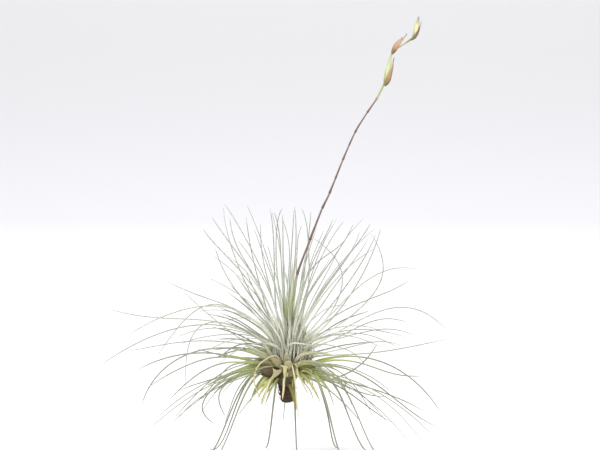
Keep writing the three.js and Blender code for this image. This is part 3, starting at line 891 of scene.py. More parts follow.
class Shader:
    """A material's node tree, with short calls for the nodes that the finishes share."""

    # Where a Mix node takes its factor and its two colours, and gives its blend
    MIX_INPUTS = (0, 6, 7)
    MIX_OUTPUT = 2

    def __init__(self, name: str) -> None:
        """Starts a material with one principled surface.

        Args:
            name: The material's name.
        """
        self.material = bpy.data.materials.new(name)
        self.material.use_nodes = True
        self.tree = self.material.node_tree
        self.surface = self.tree.nodes["Principled BSDF"]

    def node(self, kind: str, settings: dict[str, object] | None = None,
             **inputs: object) -> bpy.types.Node:
        """Adds a node.

        Args:
            kind: The node's type, without its ShaderNode prefix.
            settings: Properties of the node itself.
            inputs: Values or sockets for its inputs, by name with _ for a space, or by number with
                an i before it.

        Returns:
            The node.
        """
        made = self.tree.nodes.new("ShaderNode" + kind)
        for key, value in (settings or {}).items():
            setattr(made, key, value)
        for key, value in inputs.items():
            numbered = key[0] == "i" and key[1:].isdigit()
            self.feed(made.inputs[int(key[1:]) if numbered else key.replace("_", " ")], value)
        return made

    def feed(self, socket: Socket, value: object) -> None:
        """Links a socket into an input, or sets the input's own value.

        Args:
            socket: The input.
            value: The socket that is linked into it, or the value that it gets.
        """
        if isinstance(value, Socket):
            self.tree.links.new(value, socket)
        else:
            socket.default_value = value

    def reading(self, name: str) -> Socket:
        """What the mesh knows of a point, such as its share along the leaf."""
        return self.node("Attribute", {"attribute_name": name}).outputs["Fac"]

    def ramp(self, factor: Socket, stops: Stops) -> Socket:
        """Makes a colour that changes with a factor.

        Args:
            factor: The factor, from 0 to 1.
            stops: The places of its colours and the colours.

        Returns:
            The socket that gives the colour.
        """
        made = self.node("ValToRGB", Fac=factor)
        elements = made.color_ramp.elements
        while len(elements) < len(stops):
            elements.new(position=0.5)
        for element, (at, colour) in zip(elements, stops):
            element.position = at
            element.color = (*colour, 1.0)
        return made.outputs["Color"]

    def blend(self, factor: object, first: object, second: object) -> Socket:
        """Blends two colours.

        Args:
            factor: How much there is of the second.
            first: The first colour, or the socket that gives it.
            second: The second colour, or its socket.

        Returns:
            The socket that gives the blend.
        """
        made = self.node("Mix", {"data_type": "RGBA"})
        for index, value in zip(self.MIX_INPUTS, (factor, first, second)):
            self.feed(made.inputs[index], (*value, 1.0) if isinstance(value, tuple) else value)
        return made.outputs[self.MIX_OUTPUT]

    def math(self, operation: str, first: object, second: object) -> Socket:
        """A sum, product or the like of two values."""
        return self.node("Math", {"operation": operation}, i0=first, i1=second).outputs[0]

    def times(self, first: object, second: object) -> Socket:
        """The product of two values."""
        return self.math("MULTIPLY", first, second)

    def spread(self, value: Socket, low: float, high: float) -> Socket:
        """The part of a value from low to high, stretched over 0 to 1."""
        made = self.node("MapRange", {"clamp": True}, Value=value, From_Min=low, From_Max=high)
        return made.outputs["Result"]

    def streaks(self, around: float, along: float, detail: float = 3.0) -> Socket:
        """Makes noise drawn out along the blade.

        Args:
            around: Its waves a millimetre round the blade.
            along: Its waves a millimetre along it.
            detail: How many finer layers it has.

        Returns:
            The socket that gives the noise.
        """
        wrap = self.node("UVMap", {"uv_map": "wrap"}).outputs["UV"]
        drawn = self.node("VectorMath", {"operation": "MULTIPLY"}, i0=wrap, i1=(around, along, 1.0))
        made = self.node("TexNoise", Vector=drawn.outputs[0], Scale=1.0, Detail=detail, Roughness=0.6)
        return made.outputs["Fac"]

    def grains(self, per_mm: float, detail: float = 2.0) -> Socket:
        """Makes noise that is alike every way.

        Args:
            per_mm: Its waves a millimetre.
            detail: How many finer layers it has.

        Returns:
            The socket that gives the noise.
        """
        place = self.node("TexCoord").outputs["Object"]
        made = self.node("TexNoise", Vector=place, Scale=per_mm / MM, Detail=detail, Roughness=0.55)
        return made.outputs["Fac"]

    def bump(self, height: Socket, depth_mm: float, strength: float) -> None:
        """Raises the surface by a height, from 0 to 1, times a depth."""
        made = self.node("Bump", Height=height, Distance=depth_mm * MM, Strength=strength)
        self.feed(self.surface.inputs["Normal"], made.outputs["Normal"])

    def dress(self, colour: Socket, **settings: object) -> None:
        """Gives the surface its colour and its other settings.

        Args:
            colour: The socket that gives the colour.
            settings: Values for its other sockets, by name with _ for a space.
        """
        self.feed(self.surface.inputs["Base Color"], colour)
        for key, value in settings.items():
            self.surface.inputs[key.replace("_", " ")].default_value = value


@dataclass(frozen=True)
class Finish:
    """What covers a piece."""

    name: str

    def material(self) -> bpy.types.Material:
        """Builds the material.

        Returns:
            The material.
        """
        shader = Shader(self.name)
        self.paint(shader)
        return shader.material

    def paint(self, shader: Shader) -> None:
        """Lays the finish's colours and relief, which each kind of finish does its own way."""
        raise NotImplementedError


@dataclass(frozen=True)
class LeafFinish(Finish):
    """A leaf's skin: its colours from root to tip, veins and a frost of pale scales.

    Stops are its colours where it isn't tinted and green_stops where it is. Bareness is how much of
    the veins and the frost a tinted leaf lacks. Glow is the share of light that passes through.
    Frost_grain and vein_waves are waves a millimetre, vein_depth is in millimetres, and tones are
    the brightness of the darkest and the palest leaf.
    """

    stops: Stops
    green_stops: Stops
    frost: Colour
    frost_amount: float
    roughness: float
    sheen: float
    glow: float = 0.0
    frost_grain: float = 3.2
    bareness: float = 0.6
    vein: Colour = (0.16, 0.17, 0.11)
    vein_amount: float = 0.45
    vein_waves: float = 7.0
    vein_depth: float = 0.08
    tones: Pair = (0.76, 1.14)

    def paint(self, shader: Shader) -> None:
        """Lays the veins over the body's colours, the frost over both, and a tone for each leaf.

        Args:
            shader: The material's nodes.
        """
        along = shader.reading("along")
        tint = shader.reading("tint")
        body = shader.blend(tint, shader.ramp(along, self.stops), shader.ramp(along, self.green_stops))
        bare = shader.math("SUBTRACT", 1.0, shader.times(tint, self.bareness))
        veins = shader.spread(shader.streaks(self.vein_waves, along=0.12), low=0.35, high=0.65)
        body = shader.blend(shader.times(veins, shader.times(bare, self.vein_amount)), body, self.vein)
        frost = shader.spread(shader.grains(self.frost_grain), low=0.45, high=0.6)
        patches = shader.spread(shader.streaks(0.8, along=0.08, detail=2.0), low=0.3, high=0.7)
        cover = shader.times(frost, shader.times(patches, self.frost_amount))
        body = shader.blend(shader.times(cover, bare), body, self.frost)
        dark, pale = self.tones
        tone = shader.node("MapRange", Value=shader.reading("tone"), To_Min=dark, To_Max=pale)
        shaded = shader.node("HueSaturation", Value=tone.outputs["Result"], Color=body)
        shader.dress(
            shaded.outputs["Color"],
            Roughness=self.roughness,
            Sheen_Weight=self.sheen,
            Sheen_Roughness=0.5,
            Specular_IOR_Level=0.3,
            Subsurface_Weight=self.glow,
            Subsurface_Radius=(1.0, 1.0, 0.8),
            Subsurface_Scale=1.5 * MM,
        )
        relief = shader.math("ADD", veins, shader.times(frost, 0.5))
        shader.bump(relief, self.vein_depth, strength=0.6)


@dataclass(frozen=True)
class StumpFinish(Finish):
    """The stump's bark: brown, with fibres along it and pale flecks."""

    name: str = "brown_stump"
    dark: Colour = (0.014, 0.007, 0.002)
    light: Colour = (0.075, 0.042, 0.014)
    fleck: Colour = (0.16, 0.11, 0.04)
    fleck_amount: float = 0.15

    def paint(self, shader: Shader) -> None:
        """Lays the fibres and the flecks.

        Args:
            shader: The material's nodes.
        """
        fibres = shader.spread(shader.streaks(5.0, along=0.5, detail=5.0), low=0.3, high=0.7)
        flecks = shader.spread(shader.grains(1.6, detail=4.0), low=0.35, high=0.7)
        body = shader.blend(fibres, self.dark, self.light)
        body = shader.blend(shader.times(flecks, self.fleck_amount), body, self.fleck)
        shader.dress(body, Roughness=0.9)
        shader.bump(fibres, depth_mm=0.3, strength=0.8)


@dataclass(frozen=True)
class StalkFinish(Finish):
    """The stalk: each length between joints goes from rust to purple grey to a green collar.

    Sections are the colours from one joint to the next, top those of the green zigzag top from its
    foot to its tip, and foot is the pale colour inside the fresh leaves.
    """

    name: str = "stalk_skin"
    sections: Stops = (
        (0.0, (0.035, 0.02, 0.015)), (0.06, (0.045, 0.025, 0.018)), (0.11, (0.14, 0.055, 0.033)),
        (0.4, (0.12, 0.06, 0.045)), (0.75, (0.13, 0.085, 0.08)), (0.93, (0.17, 0.12, 0.09)),
        (1.0, (0.19, 0.16, 0.08)),
    )
    top: Stops = (
        (0.0, (0.32, 0.35, 0.14)), (0.15, (0.44, 0.48, 0.22)), (0.5, (0.44, 0.47, 0.22)),
        (0.62, (0.28, 0.23, 0.15)), (0.74, (0.26, 0.21, 0.16)), (0.84, (0.36, 0.42, 0.15)),
        (0.94, (0.22, 0.25, 0.05)), (1.0, (0.15, 0.16, 0.03)),
    )
    foot: Colour = (0.33, 0.32, 0.22)
    line: Colour = (0.30, 0.24, 0.20)
    line_amount: float = 0.25

    def paint(self, shader: Shader) -> None:
        """Lays the lengths between joints, fine lines on them, the foot and the green top.

        Args:
            shader: The material's nodes.
        """
        body = shader.ramp(shader.reading("across"), self.sections)
        lines = shader.spread(shader.streaks(6.0, along=0.15), low=0.35, high=0.65)
        body = shader.blend(shader.times(lines, self.line_amount), body, self.line)
        body = shader.blend(shader.reading("tint"), body, self.foot)
        green = shader.ramp(shader.reading("along"), self.top)
        body = shader.blend(shader.reading("upper"), body, green)
        shader.dress(body, Roughness=0.55, Sheen_Weight=0.15)
        shader.bump(lines, depth_mm=0.06, strength=0.5)


@dataclass(frozen=True)
class PetalFinish(Finish):
    """A withered petal's skin: its colours from base to tip, fine nerves and a paler margin."""

    stops: Stops
    nerve: Colour
    nerve_amount: float = 0.4
    margin: Colour = (0.0, 0.0, 0.0)
    margin_amount: float = 0.0

    def paint(self, shader: Shader) -> None:
        """Lays the nerves over the body's colours, and the margin over both.

        Args:
            shader: The material's nodes.
        """
        body = shader.ramp(shader.reading("along"), self.stops)
        nerves = shader.spread(shader.streaks(4.5, along=0.12), low=0.4, high=0.65)
        body = shader.blend(shader.times(nerves, self.nerve_amount), body, self.nerve)
        edge = shader.spread(shader.reading("upper"), low=-0.75, high=0.1)
        body = shader.blend(shader.times(edge, self.margin_amount), body, self.margin)
        shader.dress(
            body,
            Roughness=0.5,
            Subsurface_Weight=0.12,
            Subsurface_Radius=(0.002, 0.0012, 0.0006),
        )
        shader.bump(nerves, depth_mm=0.08, strength=0.6)


@dataclass(frozen=True)
class FloorFinish(Finish):
    """The studio's pale paper with painted shade: its colours, darker up the wall, up to a height in
    metres, with the faintest grain.
    """

    name: str = "pale_paper"
    painted_shade_height: float = 0.4
    # Painted shade: near white on the floor, greyer up the wall, standing in for the light falling off
    stops: Stops = (
        (0.0, (0.95, 0.95, 0.95)), (0.18, (0.862, 0.857, 0.877)), (0.23, (0.803, 0.797, 0.819)),
        (0.333, (0.779, 0.773, 0.799)), (0.41, (0.764, 0.758, 0.784)), (0.56, (0.747, 0.740, 0.758)),
        (0.72, (0.745, 0.738, 0.751)), (0.9, (0.763, 0.756, 0.768)),
    )
    grain: Colour = (0.85, 0.85, 0.86)
    grain_amount: float = 0.03

    def paint(self, shader: Shader) -> None:
        """Lays the colours by height, a painted shade that darkens up the wall, and the grain over them.

        Args:
            shader: The material's nodes.
        """
        place = shader.node("TexCoord").outputs["Object"]
        height = shader.node("SeparateXYZ", Vector=place).outputs["Z"]
        # Painted shade: the colour darkens with height up the wall
        body = shader.ramp(shader.spread(height, 0.0, self.painted_shade_height), self.stops)
        body = shader.blend(shader.times(shader.grains(0.6), self.grain_amount), body, self.grain)
        shader.dress(body, Roughness=0.95)


class LeafSkin(Enum):
    """The plant's leaf finishes."""

    SILVER = LeafFinish(
        name="silver_leaf",
        stops=(
            (0.0, (0.24, 0.165, 0.06)), (0.05, (0.41, 0.355, 0.17)), (0.10, (0.58, 0.54, 0.33)),
            (0.18, (0.76, 0.755, 0.60)), (0.28, (0.72, 0.74, 0.63)), (0.4, (0.36, 0.38, 0.31)),
            (0.6, (0.25, 0.265, 0.22)), (0.8, (0.21, 0.225, 0.19)), (1.0, (0.175, 0.185, 0.16)),
        ),
        green_stops=(
            (0.0, (0.24, 0.20, 0.09)), (0.07, (0.40, 0.40, 0.19)), (0.18, (0.40, 0.43, 0.22)),
            (0.32, (0.30, 0.325, 0.22)), (0.6, (0.22, 0.24, 0.19)), (1.0, (0.17, 0.18, 0.15)),
        ),
        frost=(0.74, 0.74, 0.64),
        frost_amount=0.6,
        frost_grain=1.5,
        roughness=0.65,
        sheen=0.3,
        glow=0.35,
        vein=(0.27, 0.28, 0.22),
    )
    OLIVE = LeafFinish(
        name="olive_leaf",
        stops=(
            (0.0, (0.18, 0.13, 0.05)), (0.06, (0.40, 0.38, 0.15)), (0.16, (0.50, 0.52, 0.23)),
            (0.3, (0.37, 0.39, 0.24)), (0.45, (0.25, 0.27, 0.21)), (1.0, (0.165, 0.175, 0.145)),
        ),
        green_stops=(
            (0.0, (0.18, 0.14, 0.04)), (0.06, (0.40, 0.39, 0.09)), (0.2, (0.52, 0.54, 0.16)),
            (0.36, (0.36, 0.385, 0.2)), (0.52, (0.25, 0.27, 0.19)), (1.0, (0.17, 0.185, 0.145)),
        ),
        frost=(0.56, 0.58, 0.46),
        frost_amount=0.4,
        roughness=0.55,
        sheen=0.15,
        vein=(0.20, 0.21, 0.09),
    )
    FRESH = LeafFinish(
        name="fresh_leaf",
        stops=(
            (0.0, (0.40, 0.40, 0.29)), (0.3, (0.41, 0.45, 0.25)), (0.5, (0.52, 0.56, 0.40)),
            (0.7, (0.58, 0.62, 0.51)), (1.0, (0.48, 0.50, 0.43)),
        ),
        green_stops=(
            (0.0, (0.38, 0.39, 0.24)), (0.22, (0.31, 0.36, 0.14)), (0.4, (0.33, 0.385, 0.15)),
            (0.6, (0.48, 0.53, 0.32)), (0.8, (0.54, 0.58, 0.46)), (1.0, (0.48, 0.50, 0.42)),
        ),
        frost=(0.58, 0.62, 0.48),
        frost_amount=0.25,
        roughness=0.5,
        sheen=0.1,
    )
    DRY = LeafFinish(
        name="dry_leaf",
        stops=(
            (0.0, (0.13, 0.10, 0.05)), (0.06, (0.24, 0.21, 0.11)), (0.12, (0.34, 0.30, 0.16)),
            (0.17, (0.46, 0.42, 0.22)), (0.24, (0.60, 0.56, 0.33)), (0.6, (0.66, 0.62, 0.36)),
            (0.85, (0.64, 0.54, 0.35)), (1.0, (0.46, 0.37, 0.23)),
        ),
        # Brown of the tinted pieces; its darkest end, at the root, is also the painted shade of the
        # near-black flaps under the sheaths
        green_stops=(
            (0.0, (0.03, 0.016, 0.004)), (0.12, (0.13, 0.075, 0.03)), (1.0, (0.24, 0.17, 0.08)),
        ),
        frost=(0.74, 0.70, 0.50),
        frost_amount=0.3,
        roughness=0.7,
        sheen=0.0,
        bareness=0.5,
        vein=(0.30, 0.22, 0.10),
        vein_waves=1.8,
    )


class Placing:
    """Takes points round the crown, in millimetres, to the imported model's frame, in metres."""

    def __init__(self) -> None:
        """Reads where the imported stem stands."""
        low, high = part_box("stem")
        self.shift = Vector(((low[0] + high[0]) / 2, (low[1] + high[1]) / 2, CROWN_HEIGHT * MM))

    def __call__(self, point: Vector) -> Vector:
        """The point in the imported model's frame."""
        return Vector(point) * MM + self.shift


def finish_piece(piece: bpy.types.Object, slot: str, *nodes: str) -> None:
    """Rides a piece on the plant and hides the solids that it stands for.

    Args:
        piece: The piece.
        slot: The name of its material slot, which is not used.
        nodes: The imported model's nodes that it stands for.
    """
    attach(piece, "root")
    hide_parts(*nodes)


@dataclass
class Piece:
    """A piece of the plant: its name, the solid it stands for, its slot and its finish."""

    name: str
    node: str
    slot: str
    finish: Finish

    def shape(self, sketch: Sketch) -> None:
        """Draws the piece's form, which each kind of piece does its own way."""
        raise NotImplementedError

    def build(self, place: Placing) -> bpy.types.Object:
        """Draws the piece and dresses it.

        Args:
            place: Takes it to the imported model's frame.

        Returns:
            The finished piece.
        """
        sketch = Sketch(self.name)
        self.shape(sketch)
        piece = sketch.build(place, self.finish.material())
        finish_piece(piece, self.slot, self.node)
        return piece


@dataclass(frozen=True)
class Scales:
    """Short pointed leaf bases round the stem, each a golden turn on and higher than the last.

    Heights and radii are those of the lowest and the highest foot. Bends give the paths of the
    lowest and the highest by four points [out, up] in millimetres, counted from the foot. First is
    the direction of the first, in degrees, and middle the place of the axis. Reaches, tones and
    sizes are drawn from a start over a span.
    """

    count: int
    heights: Pair
    radii: Pair
    bends: tuple[Bend, Bend]
    breadth: float
    first: float = 20.0
    middle: Pair = (0.0, 0.0)
    turn_spread: float = 14.0
    foot_spread: float = 0.8
    reaches: Pair = (0.8, 0.4)
    tones: Pair = (0.45, 0.55)
    twist: float = 1.2
    sizes: Pair = (0.85, 0.3)
    start: float = 0.03
    section: Section = Section(
        width=((0, 0.6), (0.2, 1.0), (0.4, 0.95), (0.6, 0.62), (0.8, 0.4), (1, 0.1)),
        keel=((0, 0.25), (0.3, 0.42), (0.7, 0.24), (1, 0.05)),
        thick=((0, 0.14), (0.5, 0.16), (1, 0.05)),
        sides=8, steps=13,
    )

    def add_to(self, sketch: Sketch, draw: Draws, tint: float, end: float) -> None:
        """Draws the leaf bases into a mesh.

        Args:
            sketch: The mesh.
            draw: Gives the random draws.
            tint: How green they are.
            end: The share of a whole leaf's colours that their tips have.
        """
        for i in range(self.count):
            climb = i / (self.count - 1)
            outward = compass(self.first + GOLDEN_TURN * i + self.turn_spread * draw())
            foot = between(*self.heights, climb) + draw.around(self.foot_spread)
            radius = between(*self.radii, climb)
            reach = draw.over(*self.reaches)
            stations = []
            for (low_out, low_up), (high_out, high_up) in zip(*self.bends):
                point = outward * (radius + between(low_out, high_out, climb) * reach)
                point.z = foot + between(low_up, high_up, climb) * reach
                stations.append(point + Vector((*self.middle, 0.0)))
            look = Look(
                tone=draw.over(*self.tones),
                tint=tint * draw() * 2,
                twist=draw.around(self.twist),
                start=self.start,
                end=end,
            )
            fitted = self.section.scaled(self.breadth * draw.over(*self.sizes))
            sketch.blade(cubic_through(stations), crosswise(outward), fitted, look)


StripRow = tuple[float, Point, tuple[float, float, float, float], Section, tuple[Point, ...]]


@dataclass(frozen=True)
class Strip:
    """One leaf or leaf base by its breadth and by points of its middle line from the crown."""

    line: tuple[Point, ...]
    breadth: float
    sideways: Point
    look: Look
    section: Section

    def add_to(self, sketch: Sketch) -> None:
        """Draws the strip into a mesh."""
        fitted = self.section.scaled(self.breadth)
        sketch.blade(smooth_through(self.line), Vector(self.sideways), fitted, self.look)


def strips(*rows: StripRow) -> tuple[Strip, ...]:
    """Makes strips from rows of plain numbers.

    Args:
        rows: For each strip its breadth, the way across it, its look by its tone, tint, start and
            end, its section, and its middle line.

    Returns:
        The strips, in the order of the rows.
    """
    return tuple(
        Strip(line, breadth, sideways, Look(tone, tint, start=start, end=end), section)
        for breadth, sideways, (tone, tint, start, end), section, line in rows
    )


LEAF_BASE = Section(
    width=((0, 0.7), (0.2, 1.0), (0.5, 0.85), (0.8, 0.6), (1, 0.16)),
    keel=((0, 0.3), (0.4, 0.36), (0.8, 0.26), (1, 0.08)),
    thick=((0, 0.2), (0.5, 0.22), (1, 0.08)),
    steps=32,
)


@dataclass
class LeafHead(Piece):
    """All the leaves of one whorl, with the sheaths at their roots and the core they wrap.

    Green_climbs are the climbs, in degrees, of the leaves that are least and most tinted. A leaf
    that climbs less than brown_climb begins brown at its root, and the others begin at pale_start
    of its colours. Leaves from inner_from on fill the inside and are drawn in inner_size. A root is
    let down along the bulb by sheath_drop over sheath_share of its leaf.
    """

    whorl: Whorl
    leaves: list[Leaf]
    section: Section
    scales: Scales
    seed: int
    green_climbs: Pair
    brown_climb: float
    scale_tint: float
    strips: tuple[Strip, ...]
    inner_from: int
    inner_size: float = 0.82
    scale_end: float = 0.26
    variety: Variety = Variety((0.0, 1.0), twist=2.0, wave=0.7)
    tint_spread: float = 0.4
    pale_start: float = 0.09
    sheath_share: float = 0.12
    sheath_drop: float = 3.4
    core_shrink: float = 0.8
    core_profile: Stations = ((0, 0.6), (0.3, 1.0), (0.6, 0.8), (1, 0.35))

    def sheath_path(self, leaf: Leaf) -> Path:
        """Lets the root of a leaf's path down along the bulb, as a sheath that clasps it.

        Args:
            leaf: The leaf.

        Returns:
            The path of its blade and sheath.
        """
        path = cubic_through(leaf.points)
        root = path(0.0)
        height = root.z - self.sheath_drop
        middle = (self.whorl.bottom + self.whorl.top) / 2
        bulge = 1 - 0.5 * abs(height - middle) / (self.whorl.top - self.whorl.bottom)
        base = leaf.outward * (self.whorl.radius * self.core_shrink * bulge)
        base.z = height

        def sheathed(share: float) -> Vector:
            """The point at a share of the path, let down the more the nearer it is to the root."""
            near = clamp(1 - share / self.sheath_share)
            return path(share) + (base - root) * (near * near)
        return sheathed

    def add_core(self, sketch: Sketch) -> None:
        """Draws the solid heart of the whorl, which the sheaths hide.

        Args:
            sketch: The piece's mesh.
        """
        low = Vector((0, 0, self.whorl.bottom))
        high = Vector((0, 0, self.whorl.top))
        radius = self.whorl.radius * self.core_shrink
        sketch.tube(lambda share: low.lerp(high, share),
                    lambda share: radius * value_at(self.core_profile, share),
                    sides=24, steps=14, look=Look(0.3, 0.3, start=0.04, end=0.1))

    def add_leaf(self, sketch: Sketch, leaf: Leaf, section: Section, draw: Draws) -> None:
        """Draws one leaf with its sheath.

        Args:
            sketch: The piece's mesh.
            leaf: The leaf.
            section: Its section.
            draw: Gives the random draws.
        """
        silver_from, green_from = self.green_climbs
        greenness = (silver_from - leaf.climb()) / (silver_from - green_from)
        tint = clamp(greenness + draw.around(self.tint_spread))
        start = 0.0 if leaf.climb() < self.brown_climb else self.pale_start
        look = self.variety.look(draw, tint, start)
        sketch.blade(self.sheath_path(leaf), crosswise(leaf.outward), section, look)

    def shape(self, sketch: Sketch) -> None:
        """Draws the core, the short leaf bases, the leaves and the strips.

        Args:
            sketch: The piece's mesh.
        """
        self.add_core(sketch)
        draw = Draws(self.seed)
        self.scales.add_to(sketch, draw, self.scale_tint, self.scale_end)
        inner = self.section.scaled(self.inner_size)
        for i, leaf in enumerate(self.leaves):
            self.add_leaf(sketch, leaf, self.section if i < self.inner_from else inner, draw)
        for strip in self.strips:
            strip.add_to(sketch)


SILVER_SECTION = Section(
    width=((0, 1.2), (0.04, 1.4), (0.08, 1.05), (0.12, 0.84), (0.2, 0.66), (0.3, 0.57), (0.47, 0.49),
           (0.72, 0.41), (0.9, 0.35), (0.97, 0.28), (1, 0.14)),
    keel=((0, 0.7), (0.04, 0.85), (0.08, 0.8), (0.13, 0.64), (0.22, 0.46), (0.5, 0.32),
          (0.85, 0.24), (0.96, 0.18), (1, 0.07)),
    thick=((0, 0.45), (0.08, 0.55), (0.2, 0.5), (0.5, 0.44), (0.85, 0.34), (1, 0.12)),
)
OLIVE_SECTION = Section(
    width=((0, 2.4), (0.05, 3.2), (0.1, 2.8), (0.16, 2.1), (0.25, 1.35), (0.4, 0.9), (0.6, 0.68),
           (0.85, 0.52), (0.96, 0.36), (1, 0.15)),
    keel=((0, 0.7), (0.05, 1.0), (0.1, 1.0), (0.2, 0.8), (0.3, 0.62), (0.5, 0.44), (0.85, 0.3),
          (0.96, 0.2), (1, 0.07)),
    thick=((0, 0.5), (0.1, 0.7), (0.2, 0.66), (0.3, 0.6), (0.5, 0.52), (0.85, 0.38), (1, 0.13)),
)
SILVER_SCALES = Scales(
    count=420, heights=(-4.6, 7.6), radii=(7.4, 3.4), breadth=0.8,
    bends=(
        ((-1.6, -0.8), (0.6, 0.6), (1.7, 2.4), (2.6, 5.0)),
        ((-1.0, -1.0), (0.4, 1.2), (1.0, 3.2), (1.6, 5.8)),
    ),
)
OLIVE_SCALES = Scales(
    count=26, heights=(-8.8, -4.6), radii=(3.4, 4.2), breadth=2.8, first=75,
    bends=(
        ((-1.2, 0.4), (1.2, 0.6), (3.0, -1.4), (4.4, -6.0)),
        ((-1.2, -0.4), (1.6, 0.6), (5.0, 0.8), (9.8, -0.4)),
    ),
)
# Young and arching leaves on the front of the bulb
SILVER_STRIPS = strips(
    (0.85, (1, 0, 0), (0.7, 0.0, 0.2, 0.3), LEAF_BASE,
     ((-1.2, -4.4, -0.6), (-0.9, -6.4, 1.4), (-0.4, -7.4, 3), (1.2, -8, 3.9), (5.3, -8.6, 3.6),
      (8.2, -9, 3.2), (11.4, -9, 2.6))),
    (1.5, (0.6, 0, -0.8), (0.1, 0.2, 0.05, 0.14), LEAF_BASE,
     ((0.8, -5, -5), (1.8, -7.6, -3.2), (3.2, -8.8, -1.4), (5.2, -9.2, -0.2), (8, -9.2, 0.3),
      (12, -9, 0.2), (17, -8.6, -0.8))),
    (1.6, (0.6, 0, -0.8), (0.0, 0.4, 0.03, 0.12), LEAF_BASE,
     ((0.4, -5, -7), (1.8, -7.4, -5.4), (3, -8.6, -4), (5, -9.2, -3.2), (8.6, -9.4, -3.2),
      (13, -9.4, -4.2), (18, -9.2, -6.4))),
    (3.4, (1, 0, 0), (0.0, 0.0, 0.0, 0.05), LEAF_BASE,
     ((-1.2, -7, -4.6), (-1.2, -8.4, -3.6), (-1.2, -9.2, -2.2), (-1.2, -9.4, -0.8),
      (-1.3, -9.2, 0.8))),
    (2.2, (0.5, 0, 0.8), (0.1, 0.6, 0.05, 0.2), LEAF_BASE,
     ((-4.5, -5, -2.6), (-8.2, -7, -1.2), (-12.4, -8, 0.8), (-16.6, -8.4, 3))),
    (2.6, (0.3, 0, 1), (0.0, 1.0, 0.03, 0.22), LEAF_BASE,
     ((-3, -3, -2.2), (-6, -4.6, -1.9), (-9, -5.4, -2.1), (-12, -6, -2.8), (-16, -6.4, -4))),
    (1.6, (1, 0, 0.4), (0.1, 0.6, 0.05, 0.16), LEAF_BASE,
     ((-5.6, -6.2, -2.4), (-6.6, -7.6, -1.2), (-7.8, -8.4, 0.6), (-9.2, -8.8, 3), (-11.2, -9, 5.6))),
    (2.0, (0.6, 0, 0.8), (0.1, 0.9, 0.05, 0.18), LEAF_BASE,
     ((-5, -5, -3.6), (-7.2, -7, -3), (-9.6, -8.2, -1.6), (-12.6, -8.8, 0.2), (-16.4, -9, 1.6))),
    (2.2, (0.3, 0, 1), (0.1, 1.0, 0.05, 0.2), LEAF_BASE,
     ((-4, -4, -4.6), (-7, -6, -4.6), (-10.4, -7.4, -4), (-14, -8, -3.4), (-18.4, -8.4, -3.2))),
    (1.6, (1, 0, -0.4), (0.2, 0.4, 0.05, 0.17), LEAF_BASE,
     ((3.4, -5.4, -2.6), (4.6, -7, -0.6), (6, -7.8, 1.6), (7.8, -8.2, 4), (10.2, -8.4, 6.6))),
)
# Slim leaves that fill the bundles at both sides
THREAD = Section(
    width=((0, 1.2), (0.1, 1.1), (0.25, 0.78), (0.45, 0.62), (0.8, 0.5), (1, 0.14)),
    keel=((0, 0.6), (0.15, 0.6), (0.3, 0.52), (0.5, 0.42), (0.85, 0.34), (1, 0.07)),
    thick=((0, 0.4), (0.3, 0.58), (0.5, 0.56), (0.85, 0.44), (1, 0.12)),
    sides=10, steps=36,
)
SILVER_THREADS = tuple(
    Strip(line, 1.0, sideways=(0, 1, 0), look=Look(tone, tint, start=0.12, end=0.9), section=THREAD)
    for line, tone, tint in (
        (((-3, 0, 4.4), (-8.4, 0.6, 13.4), (-13, 1, 22), (-17, 1.4, 31)), 0.2, 0.1),
        (((-3, 1, 4), (-9, 2, 13), (-15, 3, 21), (-20.5, 4, 29)), 0.2, 0.1),
        (((-3, -1, 3.5), (-9.6, -2, 11.5), (-16, -3, 18.5), (-22.5, -4, 25.5)), 0.1, 0.2),
        (((-3, 2, 3), (-10, 4, 10.5), (-17, 6, 17), (-24, 8, 22.5)), 0.2, 0.2),
        (((-3.5, 1, 2.5), (-11, 1.8, 8.6), (-19, 2.4, 13.5), (-27.5, 3, 17)), 0.1, 0.2),
        (((-3.5, -2, 1.2), (-11.5, -5, 6.8), (-19, -7.4, 12), (-26.5, -9.6, 15.4)), 0.0, 0.3),
        (((-3.5, 0, 0.6), (-12, -1.5, 6.2), (-21.5, -3, 12), (-31, -4.6, 14.8)), 0.1, 0.4),
        (((-3.5, -3, 0), (-11, -6.5, 4.6), (-18, -9.6, 9.3), (-24.6, -12.5, 12.6)), 0.0, 0.5),
        (((-3.5, 0.5, -1), (-11.8, 0.2, 2.6), (-20.4, 0, 6.8), (-29.5, -0.4, 9.6)), 0.1, 0.7),
        (((-3.5, -2, -1.5), (-12, -5.4, 3), (-19.5, -8, 3), (-27, -10, -1.5)), 0.2, 0.6),
        (((-4, -1, -1.6), (-12, -2.4, 0.4), (-20, -3.6, 1.8), (-30, -5, 1)), 0.1, 0.8),
        (((-4, 1, 0.4), (-12, 2.4, 3), (-20, 3.6, 4.6), (-29, 5, 4.6)), 0.2, 0.7),
        (((-4, -2, -1), (-12, -5.4, 1), (-20, -8, 1), (-28, -10, -1.4)), 0.1, 0.8),
        (((-4, 0, -2.5), (-14.5, -1.4, -2.4), (-25, -2.6, -1.3), (-35.6, -3.6, 1.5)), 0.1, 0.9),
        (((3.5, 1, 1.5), (12, 2.4, 7.2), (20.5, 3.6, 12.2), (31, 4.8, 15.8)), 0.1, 0.3),
        (((3.5, -1, -0.5), (11.3, -2.4, 0.9), (20.4, -3.6, 3), (31, -5, 4.4)), 0.2, 0.7),
    )
)
